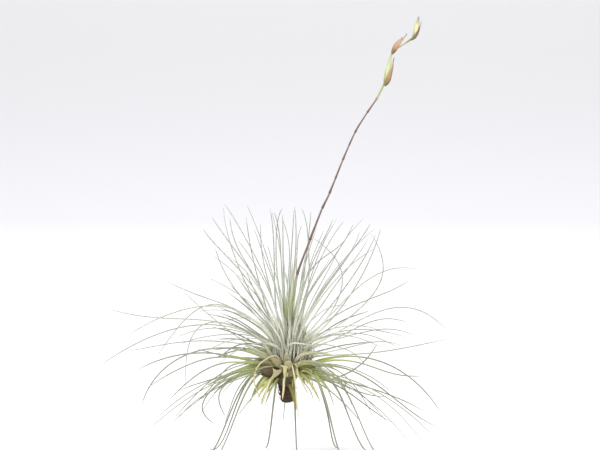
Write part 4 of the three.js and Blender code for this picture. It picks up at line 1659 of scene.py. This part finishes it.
# Broad olive leaf bases that hang at the neck's front
OLIVE_STRIPS = strips(
    (1.9, (0.3, 0, 1), (0.2, 0.7, 0.06, 0.42), LEAF_BASE,
     ((-4, -5, -4.8), (-8.2, -6.8, -4), (-10.9, -7, -3.9), (-14.3, -7, -4.8), (-18, -7, -6.1),
      (-24.4, -7, -8.6), (-31, -7, -12))),
    (1.8, (0.3, 0, 1), (0.3, 0.8, 0.06, 0.42), LEAF_BASE,
     ((-4, -4, -6), (-7.6, -5.4, -5), (-10.5, -6, -4.9), (-13.2, -6, -5.7), (-20.3, -6, -8.9),
      (-24.5, -6, -11.6), (-28.6, -6, -15))),
    (2.5, (0.3, 0, 1), (0.8, 0.9, 0.05, 0.3), LEAF_BASE,
     ((-3.4, -3.6, -6.4), (-6, -5.6, -7.2), (-8.6, -7, -8.8), (-10.8, -8, -11.2),
      (-12.8, -8.8, -15))),
    (2.4, (0.6, 0, 0.8), (1.0, 1.0, 0.05, 0.28), LEAF_BASE,
     ((-4, -4.4, -7.4), (-6.4, -6.4, -8.4), (-8.4, -7.6, -10.6), (-10.2, -8.2, -13.2),
      (-12, -8.6, -16.5))),
    (2.3, (0.5, 0, 0.9), (0.1, 0.9, 0.04, 0.3), LEAF_BASE,
     ((-4.4, -3.6, -6.8), (-7.6, -5.4, -7.8), (-10.2, -6.2, -9.8), (-12.4, -6.8, -12.6),
      (-14.4, -7, -16.4))),
    (2.2, (0.7, 0, 0.8), (0.2, 0.8, 0.03, 0.28), LEAF_BASE,
     ((-3.2, -4, -8), (-5.4, -5.6, -9), (-7.2, -6.6, -11), (-8.8, -7, -13.8), (-10.6, -7.2, -17.6))),
    (2.2, (0.8, 0, 0.6), (0.4, 0.6, 0.04, 0.3), LEAF_BASE,
     ((-2.6, -4.4, -7.8), (-4.4, -6.2, -8.8), (-6, -7.2, -10.8), (-7.6, -7.8, -14),
      (-9.4, -8, -19))),
    (1.9, (1, 0, 0), (0.0, 0.9, 0.0, 0.045), LEAF_BASE,
     ((-1.4, -5.4, -8.4), (-0.9, -7.2, -10), (0.2, -8, -12.2), (1.3, -8.6, -15.6),
      (2.4, -8.8, -21))),
    (1.8, (0.3, 0, -1), (0.9, 0.7, 0.06, 0.34), LEAF_BASE,
     ((2.4, -3.8, -5.4), (5, -6.4, -5.4), (8, -8, -6.8), (11, -9, -9.2), (15, -9.6, -13.6))),
    (1.8, (0.6, 0, -0.8), (0.6, 0.9, 0.05, 0.3), LEAF_BASE,
     ((2.2, -4, -7.4), (4.6, -6.2, -8), (7, -7.4, -10.2), (9.2, -8, -13.4), (11.4, -8.4, -18))),
)


@dataclass
class BractTuft(Piece):
    """The small fresh leaves that hug the foot of the spike, round a tapering core."""

    name: str = "bract_tuft"
    node: str = "bract_leaves"
    slot: str = "fresh_leaf"
    finish: Finish = LeafSkin.FRESH.value
    seed: int = 41
    root_height: float = 10.6
    root_radius: float = 2.0
    core_height: float = 3.0
    core_radius: float = 2.3
    core_taper: float = 1.0
    variety: Variety = Variety((0.4, 0.6), twist=0.8, wave=0.2)
    section: Section = Section(
        width=((0, 1.5), (0.15, 1.8), (0.35, 1.5), (0.6, 1.0), (0.85, 0.6), (1, 0.12)),
        keel=((0, 0.6), (0.15, 0.64), (0.5, 0.44), (1, 0.05)),
        thick=((0, 0.35), (0.5, 0.35), (1, 0.1)),
        steps=32,
    )

    def shape(self, sketch: Sketch) -> None:
        """Draws the core and the leaves.

        Args:
            sketch: The piece's mesh.
        """
        base = Vector((0, 0, self.root_height - 1))
        sketch.tube(lambda share: base + Vector((0, 0, self.core_height * share)),
                    lambda share: self.core_radius - self.core_taper * share, sides=20, steps=6)
        draw = Draws(self.seed)
        for points in BRACT_LEAVES:
            outward = Vector((points[0][0], points[0][1], 0.0)).normalized()
            root = outward * self.root_radius + Vector((0, 0, self.root_height))
            path = cubic_through([root, *(Vector(point) for point in points)])
            sketch.blade(path, crosswise(outward), self.section, self.variety.look(draw))


# The sections of the ripped sheaths and of the near-black flaps of painted shade among them: forked webs,
# pointed horns, broad flaps and rolled funnels
WEB = Section(
    width=((0, 0.5), (0.12, 0.85), (0.4, 1.0), (0.7, 0.8), (0.9, 0.45), (1, 0.25)),
    keel=((0, 0.14), (0.4, 0.3), (0.8, 0.2), (1, 0.08)),
    thick=((0, 0.08), (0.4, 0.1), (1, 0.06)),
    sides=14, steps=28,
)
HORN = Section(
    width=((0, 1.0), (0.5, 0.7), (1, 0.15)),
    keel=((0, 0.4), (0.5, 0.3), (1, 0.08)),
    thick=((0, 0.4), (0.5, 0.3), (1, 0.08)),
    sides=8, steps=14,
)
FLAP = Section(
    width=((0, 0.55), (0.3, 0.9), (0.7, 1.0), (0.9, 0.92), (1, 0.7)),
    keel=((0, 0.14), (0.5, 0.26), (1, 0.14)),
    thick=((0, 0.08), (0.5, 0.1), (1, 0.06)),
    sides=14, steps=28,
)
FUNNEL = Section(
    width=((0, 0.26), (0.3, 0.36), (0.6, 0.62), (0.85, 0.92), (1, 1.0)),
    keel=((0, 0.12), (0.5, 0.2), (1, 0.1)),
    thick=((0, 0.12), (0.5, 0.1), (1, 0.08)),
    sides=14, steps=24,
)
SHEATHS_AND_SHADE_FLAPS = strips(
    # Painted shade: a near-black flap in front of the stump, where shade falls under the sheaths
    (5.2, (1, 0, 0), (0.0, 1.0, 0.0, 0.01), FLAP,
     ((-1.8, -6.2, -12), (-1.7, -7.8, -10.6), (-1.5, -8.9, -8.8), (-1.3, -9.3, -6.6))),
    (3.3, (0.6, 0, 0.8), (0.3, 0.1, 0.06, 0.11), WEB,
     ((-3, -8.6, -4.9), (-4, -9.8, -4), (-5.2, -10.4, -2.9), (-6.4, -10.7, -1.9),
      (-7.2, -10.8, -1.5))),
    (2.6, (0.3, 0, 1), (0.3, 0.3, 0.06, 0.11), WEB,
     ((-4.2, -7.8, -5), (-6.4, -9.4, -4.2), (-8.8, -9.8, -3.4), (-11.2, -9.6, -3))),
    # Partly painted shade: a brown sheath, drawn dark brown for the shade that falls under the sheath
    # above it
    (3.9, (0.3, 0, 1), (0.0, 1.0, 0.0, 0.08), FLAP,
     ((-3.4, -7.4, -7.6), (-5.6, -9.2, -7), (-8.2, -11.2, -6), (-10.6, -12, -4.8))),
    # Painted shadow: a near-black strip under the sheaths at the left
    (3.6, (0.2, 0, 1), (0.0, 1.0, 0.0, 0.01), FLAP,
     ((-3, -6.6, -8), (-5.6, -8.4, -7.8), (-8, -9, -7.3), (-11, -8.6, -6.4))),
    (3.5, (1, 0, -0.4), (0.6, 0.1, 0.2, 0.11), FUNNEL,
     ((-6.9, -10.3, -9.3), (-6.1, -10.8, -8.3), (-5.3, -11, -7.3), (-4.95, -11, -6.6),
      (-4.75, -11, -6))),
    (1.0, (1, 0, 0.4), (0.8, 0.0, 0.14, 0.2), HORN,
     ((-5.4, -11.2, -6.7), (-6, -11.2, -6), (-6.5, -11.2, -5.2))),
    (1.0, (0, 0, 1), (0.8, 0.0, 0.14, 0.2), HORN,
     ((-4.7, -11.2, -6.4), (-4, -11.2, -6.3), (-3, -11, -6.1))),
    (1.9, (0.6, 0, 0.8), (0.3, 0.3, 0.06, 0.12), WEB,
     ((-2, -8.2, -7), (-2.6, -9.6, -6.4), (-3.4, -10.2, -5.4), (-3.9, -10.2, -4.6))),
    (1.0, (0.3, 0, 1), (0.9, 0.0, 0.18, 0.22), HORN,
     ((-1.6, -12, -4.9), (-2.5, -11.9, -4.6), (-3.7, -11.4, -4.1))),
    (1.1, (0.1, 0, 1), (0.9, 0.0, 0.18, 0.22), HORN,
     ((-2.4, -12, -4.8), (-1.6, -12.1, -4.8), (-0.6, -12.1, -5))),
    (1.6, (1, 0, 0), (0.8, 0.0, 0.24, 0.16), FUNNEL,
     ((-2.1, -9.9, -11.5), (-1.95, -10.8, -9), (-1.85, -11.7, -6.8), (-1.8, -12, -5.6),
      (-1.7, -12.1, -4.9))),
    (3.3, (1, 0, -0.1), (0.2, 0.1, 0.07, 0.16), FLAP,
     ((-1, -9.4, -6.4), (-1, -10.8, -5.2), (-0.7, -11.4, -4), (-0.6, -11.6, -2.75))),
    (2.5, (0, 0, 1), (0.2, 0.3, 0.06, 0.11), FLAP,
     ((-3.8, -8.6, -7.8), (-1.6, -10.5, -7.7), (0.4, -10.8, -7.2), (2, -10, -6.6))),
)


@dataclass
class WitheredLeaves(Piece):
    """The cream leaves that hang below the rosette, the ripped sheaths they hang from, and dark flaps of
    painted shade among the sheaths.

    Shown_from says for each leaf how many of its first points the sheaths hide.
    """

    name: str = "withered_leaves"
    node: str = "dry_leaves"
    slot: str = "dry_leaf"
    finish: Finish = LeafSkin.DRY.value
    seed: int = 97
    rags: Scales = Scales(
        count=14, heights=(-8.4, -6.8), radii=(2.6, 3.2), breadth=2.0, first=40, middle=(-1.6, -1.0),
        bends=(
            ((-0.8, -0.8), (0.4, 0.0), (0.9, 0.6), (1.4, 0.8)),
            ((-0.8, -0.8), (0.5, 0.2), (1.4, 0.8), (2.4, 0.8)),
        ),
    )
    rag_tint: float = 0.9
    rag_end: float = 0.12
    # Sheaths, with near-black flaps of painted shade among them
    sheaths_and_shade_flaps: tuple[Strip, ...] = SHEATHS_AND_SHADE_FLAPS
    variety: Variety = Variety((0.3, 0.7), twist=1.6, wave=0.2)
    cream_start: float = 0.2
    shown_from: tuple[int, ...] = (1, 2, 2, 2, 1, 0, 0)
    section: Section = Section(
        width=((0, 1.05), (0.1, 1.0), (0.25, 0.88), (0.6, 0.78), (0.85, 0.68), (1, 0.25)),
        keel=((0, 0.44), (0.2, 0.38), (0.8, 0.34), (1, 0.1)),
        thick=((0, 0.5), (0.2, 0.58), (0.34, 0.6), (0.8, 0.54), (1, 0.14)),
        steps=48,
    )

    def shape(self, sketch: Sketch) -> None:
        """Draws the rags round the stem, the ripped sheaths with the painted shade flaps, and the leaves.

        Args:
            sketch: The piece's mesh.
        """
        draw = Draws(self.seed)
        self.rags.add_to(sketch, draw, self.rag_tint, self.rag_end)
        for strip in self.sheaths_and_shade_flaps:
            strip.add_to(sketch)
        for points, shown in zip(DRY_LEAVES, self.shown_from):
            look = self.variety.look(draw, tint=0.0, start=self.cream_start)
            sideways = crosswise(Vector(points[0]))
            sketch.blade(smooth_through(points[shown:]), sideways, self.section, look)


@dataclass
class Stump(Piece):
    """The short woody stem below the leaves, broken off flat, with old fibres on it.

    A fibre's reach and how far its tip stands off the bark are drawn from a start over a span.
    """

    name: str = "stump"
    node: str = "stem"
    slot: str = "stem"
    finish: Finish = StumpFinish()
    foot: Point = (-0.8, 0.0, -19.0)
    top: Point = (-1.8, -1.2, -7.4)
    radius: float = 3.2
    profile: Stations = (
        (0, 0.45), (0.03, 0.7), (0.12, 0.86), (0.2, 0.8), (0.28, 0.93), (0.36, 0.84), (0.48, 0.98),
        (0.6, 0.94), (0.7, 1.04), (0.8, 1.0), (1, 0.9),
    )
    seed: int = 53
    fibres: int = 90
    fibre_radius: float = 0.11
    fibre_root: float = 0.9
    fibre_lean: float = 0.5
    fibre_reaches: Pair = (1.2, 2.2)
    middle_off: float = 0.7
    tip_off: Pair = (0.6, 0.6)

    def add_fibre(self, sketch: Sketch, foot: Vector, height: Vector, draw: Draws) -> None:
        """Draws one old fibre, which starts in the bark and stands off it.

        Args:
            sketch: The piece's mesh.
            foot: The foot of the stump.
            height: The way from there to its top.
            draw: Gives the random draws.
        """
        outward = compass(360 * draw())
        start = outward * (self.radius * self.fibre_root) + foot + height * draw()
        lean = compass(360 * draw()) * self.fibre_lean
        reach = draw.over(*self.fibre_reaches)
        middle = start + outward * self.middle_off + Vector((0, 0, reach / 2))
        tip = start + outward * draw.over(*self.tip_off) + lean + Vector((0, 0, reach))
        sketch.tube(smooth_through([start, middle, tip]),
                    lambda share: self.fibre_radius * (1.05 - share),
                    sides=5, steps=6, look=Look(draw()))

    def shape(self, sketch: Sketch) -> None:
        """Draws the stump and its fibres.

        Args:
            sketch: The piece's mesh.
        """
        foot = Vector(self.foot)
        height = Vector(self.top) - foot
        sketch.tube(lambda share: foot + height * share,
                    lambda share: self.radius * value_at(self.profile, share), sides=32, steps=36)
        draw = Draws(self.seed)
        for _ in range(self.fibres):
            self.add_fibre(sketch, foot, height, draw)


@dataclass
class FlowerStalk(Piece):
    """The stalk, wrapped between its joints in clasping bracts, and its green zigzag top.

    Joints are shares of the stalk's length, and faint are those that hardly show. The stalk is pale
    up to foot_to and green from green_from, and each changes over fade. At a joint it swells by a
    share of its radius over joint_breadth, and from there to the next it tapers. The clasping bracts
    stand to one side and the other by turns, in the directions of clasp_turns, in degrees.
    """

    name: str = "flower_stalk"
    node: str = "spike"
    slot: str = "stalk"
    finish: Finish = StalkFinish()
    joints: tuple[float, ...] = (
        0.0, 0.1, 0.2, 0.339, 0.467, 0.531, 0.592, 0.667, 0.727, 0.783, 0.871, 0.93, 1.0,
    )
    faint: tuple[float, ...] = (0.1, 0.2, 0.592, 0.727)
    green_from: float = 0.925
    foot_to: float = 0.2
    fade: float = 0.02
    radii: Stations = (
        (0, 0.8), (0.14, 0.76), (0.2, 0.52), (0.24, 0.42), (0.36, 0.42), (0.6, 0.36), (0.85, 0.31),
        (0.94, 0.33), (0.975, 0.42), (1, 0.52),
    )
    top_radii: Stations = (
        (0, 0.46), (0.2, 0.42), (0.5, 0.42), (0.6, 0.34), (0.68, 0.15), (0.78, 0.17), (0.88, 0.3),
        (1, 0.36),
    )
    joint_size: float = 1.06
    taper: float = 0.14
    swell: float = 0.3
    faint_swell: float = 0.3
    faint_start: float = 0.1
    joint_breadth: float = 0.006
    clasp_turns: Pair = (250, 400)
    clasp_gap: float = 0.002
    clasp_reach: float = 0.85
    clasp_sink: float = 0.35
    clasp_shades: Pair = (0.06, 0.7)
    clasp_section: Section = Section(
        width=((0, 2.5), (0.4, 2.2), (0.75, 1.1), (1, 0.24)),
        keel=((0, 0.84), (0.4, 0.76), (0.75, 0.4), (1, 0.12)),
        thick=((0, 0.24), (0.75, 0.24), (1, 0.12)),
        sides=10, steps=16,
    )

    def stalk_radius(self, share: float) -> float:
        """The stalk's radius, which steps out at each joint and draws in above it.

        Args:
            share: The share of its length.

        Returns:
            The radius there.
        """
        plain = value_at(self.radii, share)
        for low, high in zip(self.joints, self.joints[1:]):
            if share < high:
                rise = (share - low) / (high - low)
                size = self.faint_swell if low in self.faint else 1.0
                past = (share - low - self.joint_breadth) / self.joint_breadth
                ring = self.swell * size * math.exp(-past ** 2)
                return plain * (self.joint_size - self.taper * rise + ring)
        return plain * (self.joint_size - self.taper)

    def colour_stalk(self, sketch: Sketch) -> None:
        """Writes each point's place between its two joints, and where the stalk is pale and green.

        Args:
            sketch: The piece's mesh, with the stalk alone.
        """
        for i, share in enumerate(sketch.along):
            sketch.upper[i] = clamp((share - self.green_from) / self.fade)
            sketch.tint[i] = clamp((self.foot_to - share) / self.fade)
            sketch.along[i] = 0.0
            for low, high in zip(self.joints, self.joints[1:]):
                if low <= share <= high:
                    start = self.faint_start if low in self.faint else 0.0
                    sketch.across[i] = between(start, 1.0, (share - low) / (high - low))
                    break

    def clasp_path(self, stalk: Path, low: float, high: float, side: Vector) -> Path:
        """The path of the bract that clasps the stalk from one joint towards the next.

        Args:
            stalk: The stalk's path.
            low: The joint's share of the stalk.
            high: The next joint's.
            side: The way from the bract to the stalk.

        Returns:
            The bract's path.
        """
        end = between(low, high, self.clasp_reach)

        def clasp(share: float) -> Vector:
            """The point at a share of the path, sunk into the stalk."""
            at = between(low + self.clasp_gap, end, share)
            return stalk(at) - side * (self.stalk_radius(at) * self.clasp_sink)
        return clasp

    def add_clasps(self, sketch: Sketch, stalk: Path) -> None:
        """Draws the pointed bract that clasps the stalk above each joint that shows.

        Args:
            sketch: The piece's mesh.
            stalk: The stalk's path.
        """
        dark, span = self.clasp_shades
        for i, (low, high) in enumerate(zip(self.joints[1:-2], self.joints[2:-1])):
            if low in self.faint:
                continue
            side = compass(self.clasp_turns[i % 2]) * -1
            start = len(sketch.corners)
            fitted = self.clasp_section.scaled(value_at(self.radii, low))
            path = self.clasp_path(stalk, low, high, side)
            sketch.blade(path, side.cross(Vector((0, 0, 1))), fitted, Look(0.4))
            for k in range(start, len(sketch.corners)):
                sketch.across[k] = dark + span * sketch.along[k]
                sketch.upper[k] = 0.0
                sketch.tint[k] = 1.0 if low < self.foot_to else 0.0

    def shape(self, sketch: Sketch) -> None:
        """Draws the stalk, its clasping bracts and the green top.

        Args:
            sketch: The piece's mesh.
        """
        stalk = smooth_through(STALK_POINTS)
        sketch.tube(stalk, self.stalk_radius, sides=14, steps=300)
        self.colour_stalk(sketch)
        self.add_clasps(sketch, stalk)
        start = len(sketch.corners)
        sketch.tube(smooth_through(RACHIS_POINTS), lambda share: value_at(self.top_radii, share),
                    sides=12, steps=60)
        for k in range(start, len(sketch.corners)):
            sketch.upper[k] = 1.0


@dataclass
class Bract(Piece):
    """A folded bract, seen on its flank: its keel outward, its margins towards the calyx.

    Hollow_side is the way across its line, and thread the middle line of any spent thread that
    sticks out of it.
    """

    line: tuple[Point, ...]
    breadth: float
    hollow_side: Point = (0.0, 1.0, 0.0)
    thread: tuple[Point, ...] = ()
    thread_radius: float = 0.13
    thread_swell: float = 0.08
    section: Section = Section(
        width=((0, 0.4), (0.12, 0.8), (0.3, 0.85), (0.5, 0.6), (0.7, 0.36), (0.85, 0.22), (1, 0.12)),
        keel=((0, 0.42), (0.1, 0.8), (0.25, 1.0), (0.42, 0.72), (0.6, 0.38), (0.8, 0.22),
              (0.92, 0.22), (1, 0.12)),
        thick=((0, 0.16), (0.3, 0.16), (0.7, 0.13), (1, 0.09)),
        sides=16, steps=40, seat=0.5,
    )

    def shape(self, sketch: Sketch) -> None:
        """Draws the bract and its thread.

        Args:
            sketch: The piece's mesh.
        """
        fitted = self.section.scaled(self.breadth)
        sketch.blade(smooth_through(self.line), Vector(self.hollow_side), fitted, Look())
        if self.thread:
            sketch.tube(smooth_through(self.thread),
                        lambda share: self.thread_radius + self.thread_swell * share ** 4,
                        sides=8, steps=14, look=Look(start=0.05, end=0.2))


@dataclass
class Calyx(Piece):
    """A pale calyx: sepals that overlap into a spindle, their points a little apart."""

    line: tuple[Point, ...]
    breadth: float
    profile: Stations = (
        (0, 0.3), (0.12, 0.6), (0.35, 1.0), (0.55, 0.84), (0.75, 0.48), (0.9, 0.2), (1, 0.08),
    )
    sepals: int = 3
    first_turn: float = 0.5
    sepal_turn: float = 2.1
    tone_step: float = 0.2
    heart_size: float = 0.86
    heart_tone: float = 0.35
    sepal_size: float = 0.8
    tip_gap: float = 0.16
    tips_from: float = 0.75
    section: Section = Section(
        width=((0, 0.3), (0.3, 0.8), (0.55, 0.64), (0.8, 0.3), (1, 0.06)),
        keel=((0, 0.12), (0.3, 0.24), (0.7, 0.16), (1, 0.03)),
        thick=((0, 0.06), (0.5, 0.07), (1, 0.03)),
        sides=12, steps=32,
    )

    def swell(self, share: float) -> float:
        """How far a sepal lies from the middle line: on the spindle, and off it at the tip."""
        gap = self.tip_gap * max(0.0, share - self.tips_from) / (1 - self.tips_from)
        return self.breadth / 2 * self.sepal_size * value_at(self.profile, share) + gap

    def sepal_path(self, middle: Path, outward: Vector) -> Path:
        """The path of a sepal.

        Args:
            middle: The middle line of the calyx.
            outward: The way that the sepal lies off it.

        Returns:
            The sepal's path.
        """
        def sepal(share: float) -> Vector:
            """The point at a share of the path."""
            return middle(share) + outward * self.swell(share)
        return sepal

    def shape(self, sketch: Sketch) -> None:
        """Draws the spindle and the sepals laid on it.

        Args:
            sketch: The piece's mesh.
        """
        middle = smooth_through(self.line)
        half = self.breadth / 2
        sketch.tube(middle, lambda share: half * self.heart_size * value_at(self.profile, share),
                    sides=18, steps=36, look=Look(self.heart_tone), lobes=0.05)
        fitted = self.section.scaled(self.breadth)
        for i in range(self.sepals):
            angle = self.first_turn + self.sepal_turn * i
            outward = Vector((math.cos(angle), math.sin(angle), 0.0))
            look = Look(self.heart_tone + self.tone_step * i)
            inward_left = Vector((outward.y, -outward.x, 0.0))
            sketch.blade(self.sepal_path(middle, outward), inward_left, fitted, look)


RUST = PetalFinish(
    name="rust_bract",
    stops=(
        (0.0, (0.10, 0.10, 0.02)), (0.12, (0.09, 0.075, 0.015)), (0.2, (0.20, 0.12, 0.05)),
        (0.35, (0.36, 0.19, 0.12)), (0.6, (0.30, 0.18, 0.14)), (0.8, (0.20, 0.15, 0.12)),
        (0.93, (0.07, 0.06, 0.05)), (1.0, (0.05, 0.04, 0.035)),
    ),
    nerve=(0.16, 0.08, 0.035),
    margin=(0.74, 0.52, 0.27),
    margin_amount=0.34,
)
SALMON = PetalFinish(
    name="salmon_bract",
    stops=(
        (0.0, (0.09, 0.09, 0.015)), (0.22, (0.10, 0.095, 0.015)), (0.3, (0.36, 0.20, 0.10)),
        (0.55, (0.50, 0.28, 0.18)), (0.85, (0.46, 0.33, 0.24)), (1.0, (0.32, 0.27, 0.20)),
    ),
    nerve=(0.34, 0.15, 0.06),
    margin=(0.62, 0.40, 0.22),
    margin_amount=0.4,
)
OLIVE_BRACT = PetalFinish(
    name="olive_bract",
    stops=(
        (0.0, (0.17, 0.18, 0.04)), (0.2, (0.12, 0.11, 0.02)), (0.45, (0.17, 0.11, 0.045)),
        (0.6, (0.13, 0.085, 0.05)), (0.76, (0.28, 0.26, 0.27)), (1.0, (0.44, 0.43, 0.48)),
    ),
    nerve=(0.10, 0.07, 0.02),
    margin=(0.55, 0.40, 0.20),
    margin_amount=0.25,
)
PALE = PetalFinish(
    name="pale_calyx",
    stops=(
        (0.0, (0.34, 0.30, 0.09)), (0.15, (0.60, 0.55, 0.27)), (0.4, (0.61, 0.65, 0.35)),
        (0.75, (0.60, 0.66, 0.38)), (1.0, (0.52, 0.58, 0.30)),
    ),
    nerve=(0.46, 0.50, 0.22),
)
CREAM = PetalFinish(
    name="cream_calyx",
    stops=(
        (0.0, (0.40, 0.42, 0.16)), (0.3, (0.66, 0.62, 0.33)), (0.6, (0.76, 0.64, 0.38)),
        (0.76, (0.46, 0.42, 0.32)), (1.0, (0.22, 0.21, 0.21)),
    ),
    nerve=(0.50, 0.50, 0.22),
)
PETALS = (
    Bract(
        "lower_bract_fold", "lower_bract", "bract", RUST,
        ((36.2, 3.2, 101.4), (37.4, 2.4, 103.2), (38.4, 2.1, 105.9), (39.1, 2.2, 108.4),
         (39.3, 2.4, 110.4), (39.7, 2.5, 112.2)),
        1.7,
    ),
    Calyx(
        "lower_calyx_sepals", "lower_calyx", "calyx", PALE,
        ((36.3, 3.9, 103), (37.1, 3.9, 106), (37.8, 4, 108.6), (38.3, 4.1, 111), (38.7, 4.2, 113.2)),
        2.1,
    ),
    Bract(
        "middle_bract_fold", "middle_bract", "bract", SALMON,
        ((39.1, 4.8, 113.8), (40.1, 4.4, 115.4), (41.1, 4.2, 117), (42.2, 4.1, 118.6), (43.1, 4, 120.1)),
        2.1,
        hollow_side=(0.5, 1.0, -0.3),
        thread=((42, 4.2, 118), (43.3, 4.2, 119.4), (44.6, 4.2, 121.4)),
        section=Section(
            width=((0, 0.4), (0.15, 0.7), (0.35, 0.85), (0.6, 0.8), (0.85, 0.4), (1, 0.12)),
            keel=((0, 0.42), (0.15, 0.72), (0.38, 1.0), (0.62, 0.84), (0.85, 0.42), (1, 0.14)),
            thick=((0, 0.16), (0.5, 0.15), (1, 0.09)),
            sides=16, steps=36, seat=0.5,
        ),
    ),
    Bract(
        "upper_bract_fold", "upper_bract", "bract", OLIVE_BRACT,
        ((46, 4.2, 118.9), (47.6, 3.9, 120.1), (48.9, 3.9, 122), (49.6, 3.9, 123.8), (50, 3.9, 125.3),
         (50.3, 3.9, 126.4)),
        1.3,
    ),
    Calyx(
        "upper_calyx_sepals", "upper_calyx", "calyx", CREAM,
        ((46.8, 4.5, 119.5), (47.9, 4.5, 121.6), (48.4, 4.4, 124), (48.7, 4.4, 125.6), (49.2, 4.3, 127.9)),
        2.1,
        profile=((0, 0.25), (0.15, 0.5), (0.35, 0.85), (0.55, 1.0), (0.7, 0.8), (0.82, 0.42),
                 (0.92, 0.22), (1, 0.14)),
    ),
)


@dataclass(frozen=True)
class Lamp:
    """A square soft light: its place and breadth in metres, and its power in watts."""

    name: str
    place: Point
    size: float
    power: float
    aimed: bool = True

    def hang(self, target: Vector) -> None:
        """Adds the lamp to the scene.

        Args:
            target: Where it looks if it is aimed. Otherwise it looks straight down.
        """
        light = bpy.data.lights.new(self.name, "AREA")
        light.size = self.size
        light.energy = self.power
        made = bpy.data.objects.new(self.name, light)
        made.location = self.place
        if self.aimed:
            made.rotation_euler = (target - Vector(self.place)).to_track_quat("-Z", "Y").to_euler()
        bpy.context.scene.collection.objects.link(made)


@dataclass
class Studio:
    """The pale floor that turns up into a wall, the soft lights, the sky and the camera."""

    floor_depth: float = 2.2
    floor_front: float = -2.5
    wall_height: float = 2.5
    half_width: float = 4.0
    bend: float = 1.6
    bend_steps: int = 60
    paper: Finish = FloorFinish()
    lamps: tuple[Lamp, ...] = (
        Lamp("key_light", (-0.5, -0.6, 0.9), 0.6, 6.5),
        Lamp("fill_light", (0.5, -1.0, 0.35), 0.9, 4.0),
        Lamp("top_light", (0.1, 0.5, 1.1), 0.9, 3.0, aimed=False),
    )
    lamp_target: Point = (0.0, 0.0, 0.06)
    sky: Colour = (0.98, 0.99, 1.0)
    sky_strength: float = 0.95

    def build_floor(self) -> None:
        """Lays the paper: flat under the plant, then curved up behind it."""
        profile = [(self.floor_front, 0.0), (self.floor_depth - self.bend, 0.0)]
        for k in range(1, self.bend_steps + 1):
            angle = math.pi / 2 * k / self.bend_steps
            profile.append((self.floor_depth - self.bend + self.bend * math.sin(angle),
                            self.bend - self.bend * math.cos(angle)))
        profile.append((self.floor_depth, self.wall_height))
        corners = [(side * self.half_width, y, z) for y, z in profile for side in (-1, 1)]
        faces = [(2 * i, 2 * i + 1, 2 * i + 3, 2 * i + 2) for i in range(len(profile) - 1)]
        mesh = bpy.data.meshes.new("studio_floor")
        mesh.from_pydata(corners, [], faces)
        mesh.shade_smooth()
        mesh.materials.append(self.paper.material())
        floor = bpy.data.objects.new("studio_floor", mesh)
        bpy.context.scene.collection.objects.link(floor)

    def build_lights(self) -> None:
        """Hangs the lamps under a pale sky."""
        world = bpy.data.worlds.new("studio_sky")
        world.use_nodes = True
        background = world.node_tree.nodes["Background"]
        background.inputs["Color"].default_value = (*self.sky, 1.0)
        background.inputs["Strength"].default_value = self.sky_strength
        bpy.context.scene.world = world
        for lamp in self.lamps:
            lamp.hang(Vector(self.lamp_target))

    def build_camera(self, place: Placing) -> None:
        """Sets the camera level with the middle of the view.

        Args:
            place: Takes the eye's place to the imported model's frame.
        """
        data = bpy.data.cameras.new("camera")
        data.sensor_width = SENSOR_BREADTH
        data.lens = SENSOR_BREADTH * EYE_DISTANCE / VIEW_BREADTH
        camera = bpy.data.objects.new("camera", data)
        camera.location = place(Vector((EYE_ACROSS, -EYE_DISTANCE, EYE_UP)))
        camera.rotation_euler = (math.pi / 2, 0.0, 0.0)
        bpy.context.scene.collection.objects.link(camera)
        bpy.context.scene.camera = camera


def main() -> None:
    """Builds the plant's pieces in order and reports each, then builds the studio."""
    logging.basicConfig(level=logging.INFO, format="%(message)s")
    place = Placing()
    rosette = Rosette()
    olive_leaves = LeafHead(
        "olive_leaves", "green_leaves", "green_leaf", LeafSkin.OLIVE.value,
        GREEN_WHORL, rosette.green, OLIVE_SECTION, OLIVE_SCALES,
        seed=7,
        green_climbs=(-40, 30),
        brown_climb=90,
        scale_tint=0.5,
        strips=OLIVE_STRIPS,
        inner_from=len(BEARING_LEAVES) + len(SPREADING_LEAVES),
        inner_size=0.68,
        sheath_drop=1.6,
    )
    silver_rosette = LeafHead(
        "silver_rosette", "silver_leaves", "silver_leaf", LeafSkin.SILVER.value,
        SILVER_WHORL, rosette.silver, SILVER_SECTION, SILVER_SCALES,
        seed=19,
        green_climbs=(40, -10),
        brown_climb=18,
        scale_tint=0.15,
        strips=SILVER_STRIPS + SILVER_THREADS,
        inner_from=len(UPRIGHT_LEAVES) + len(ARCHING_LEAVES),
    )
    parts = (
        Stump(), WitheredLeaves(), olive_leaves, silver_rosette, BractTuft(), FlowerStalk(), *PETALS,
    )
    for part in parts:
        piece = part.build(place)
        log.info("%s: %d faces", piece.name, len(piece.data.polygons))
    studio = Studio()
    studio.build_floor()
    studio.build_lights()
    studio.build_camera(place)
    bpy.context.scene.view_settings.view_transform = "Standard"


if __name__ == "__main__":
    main()
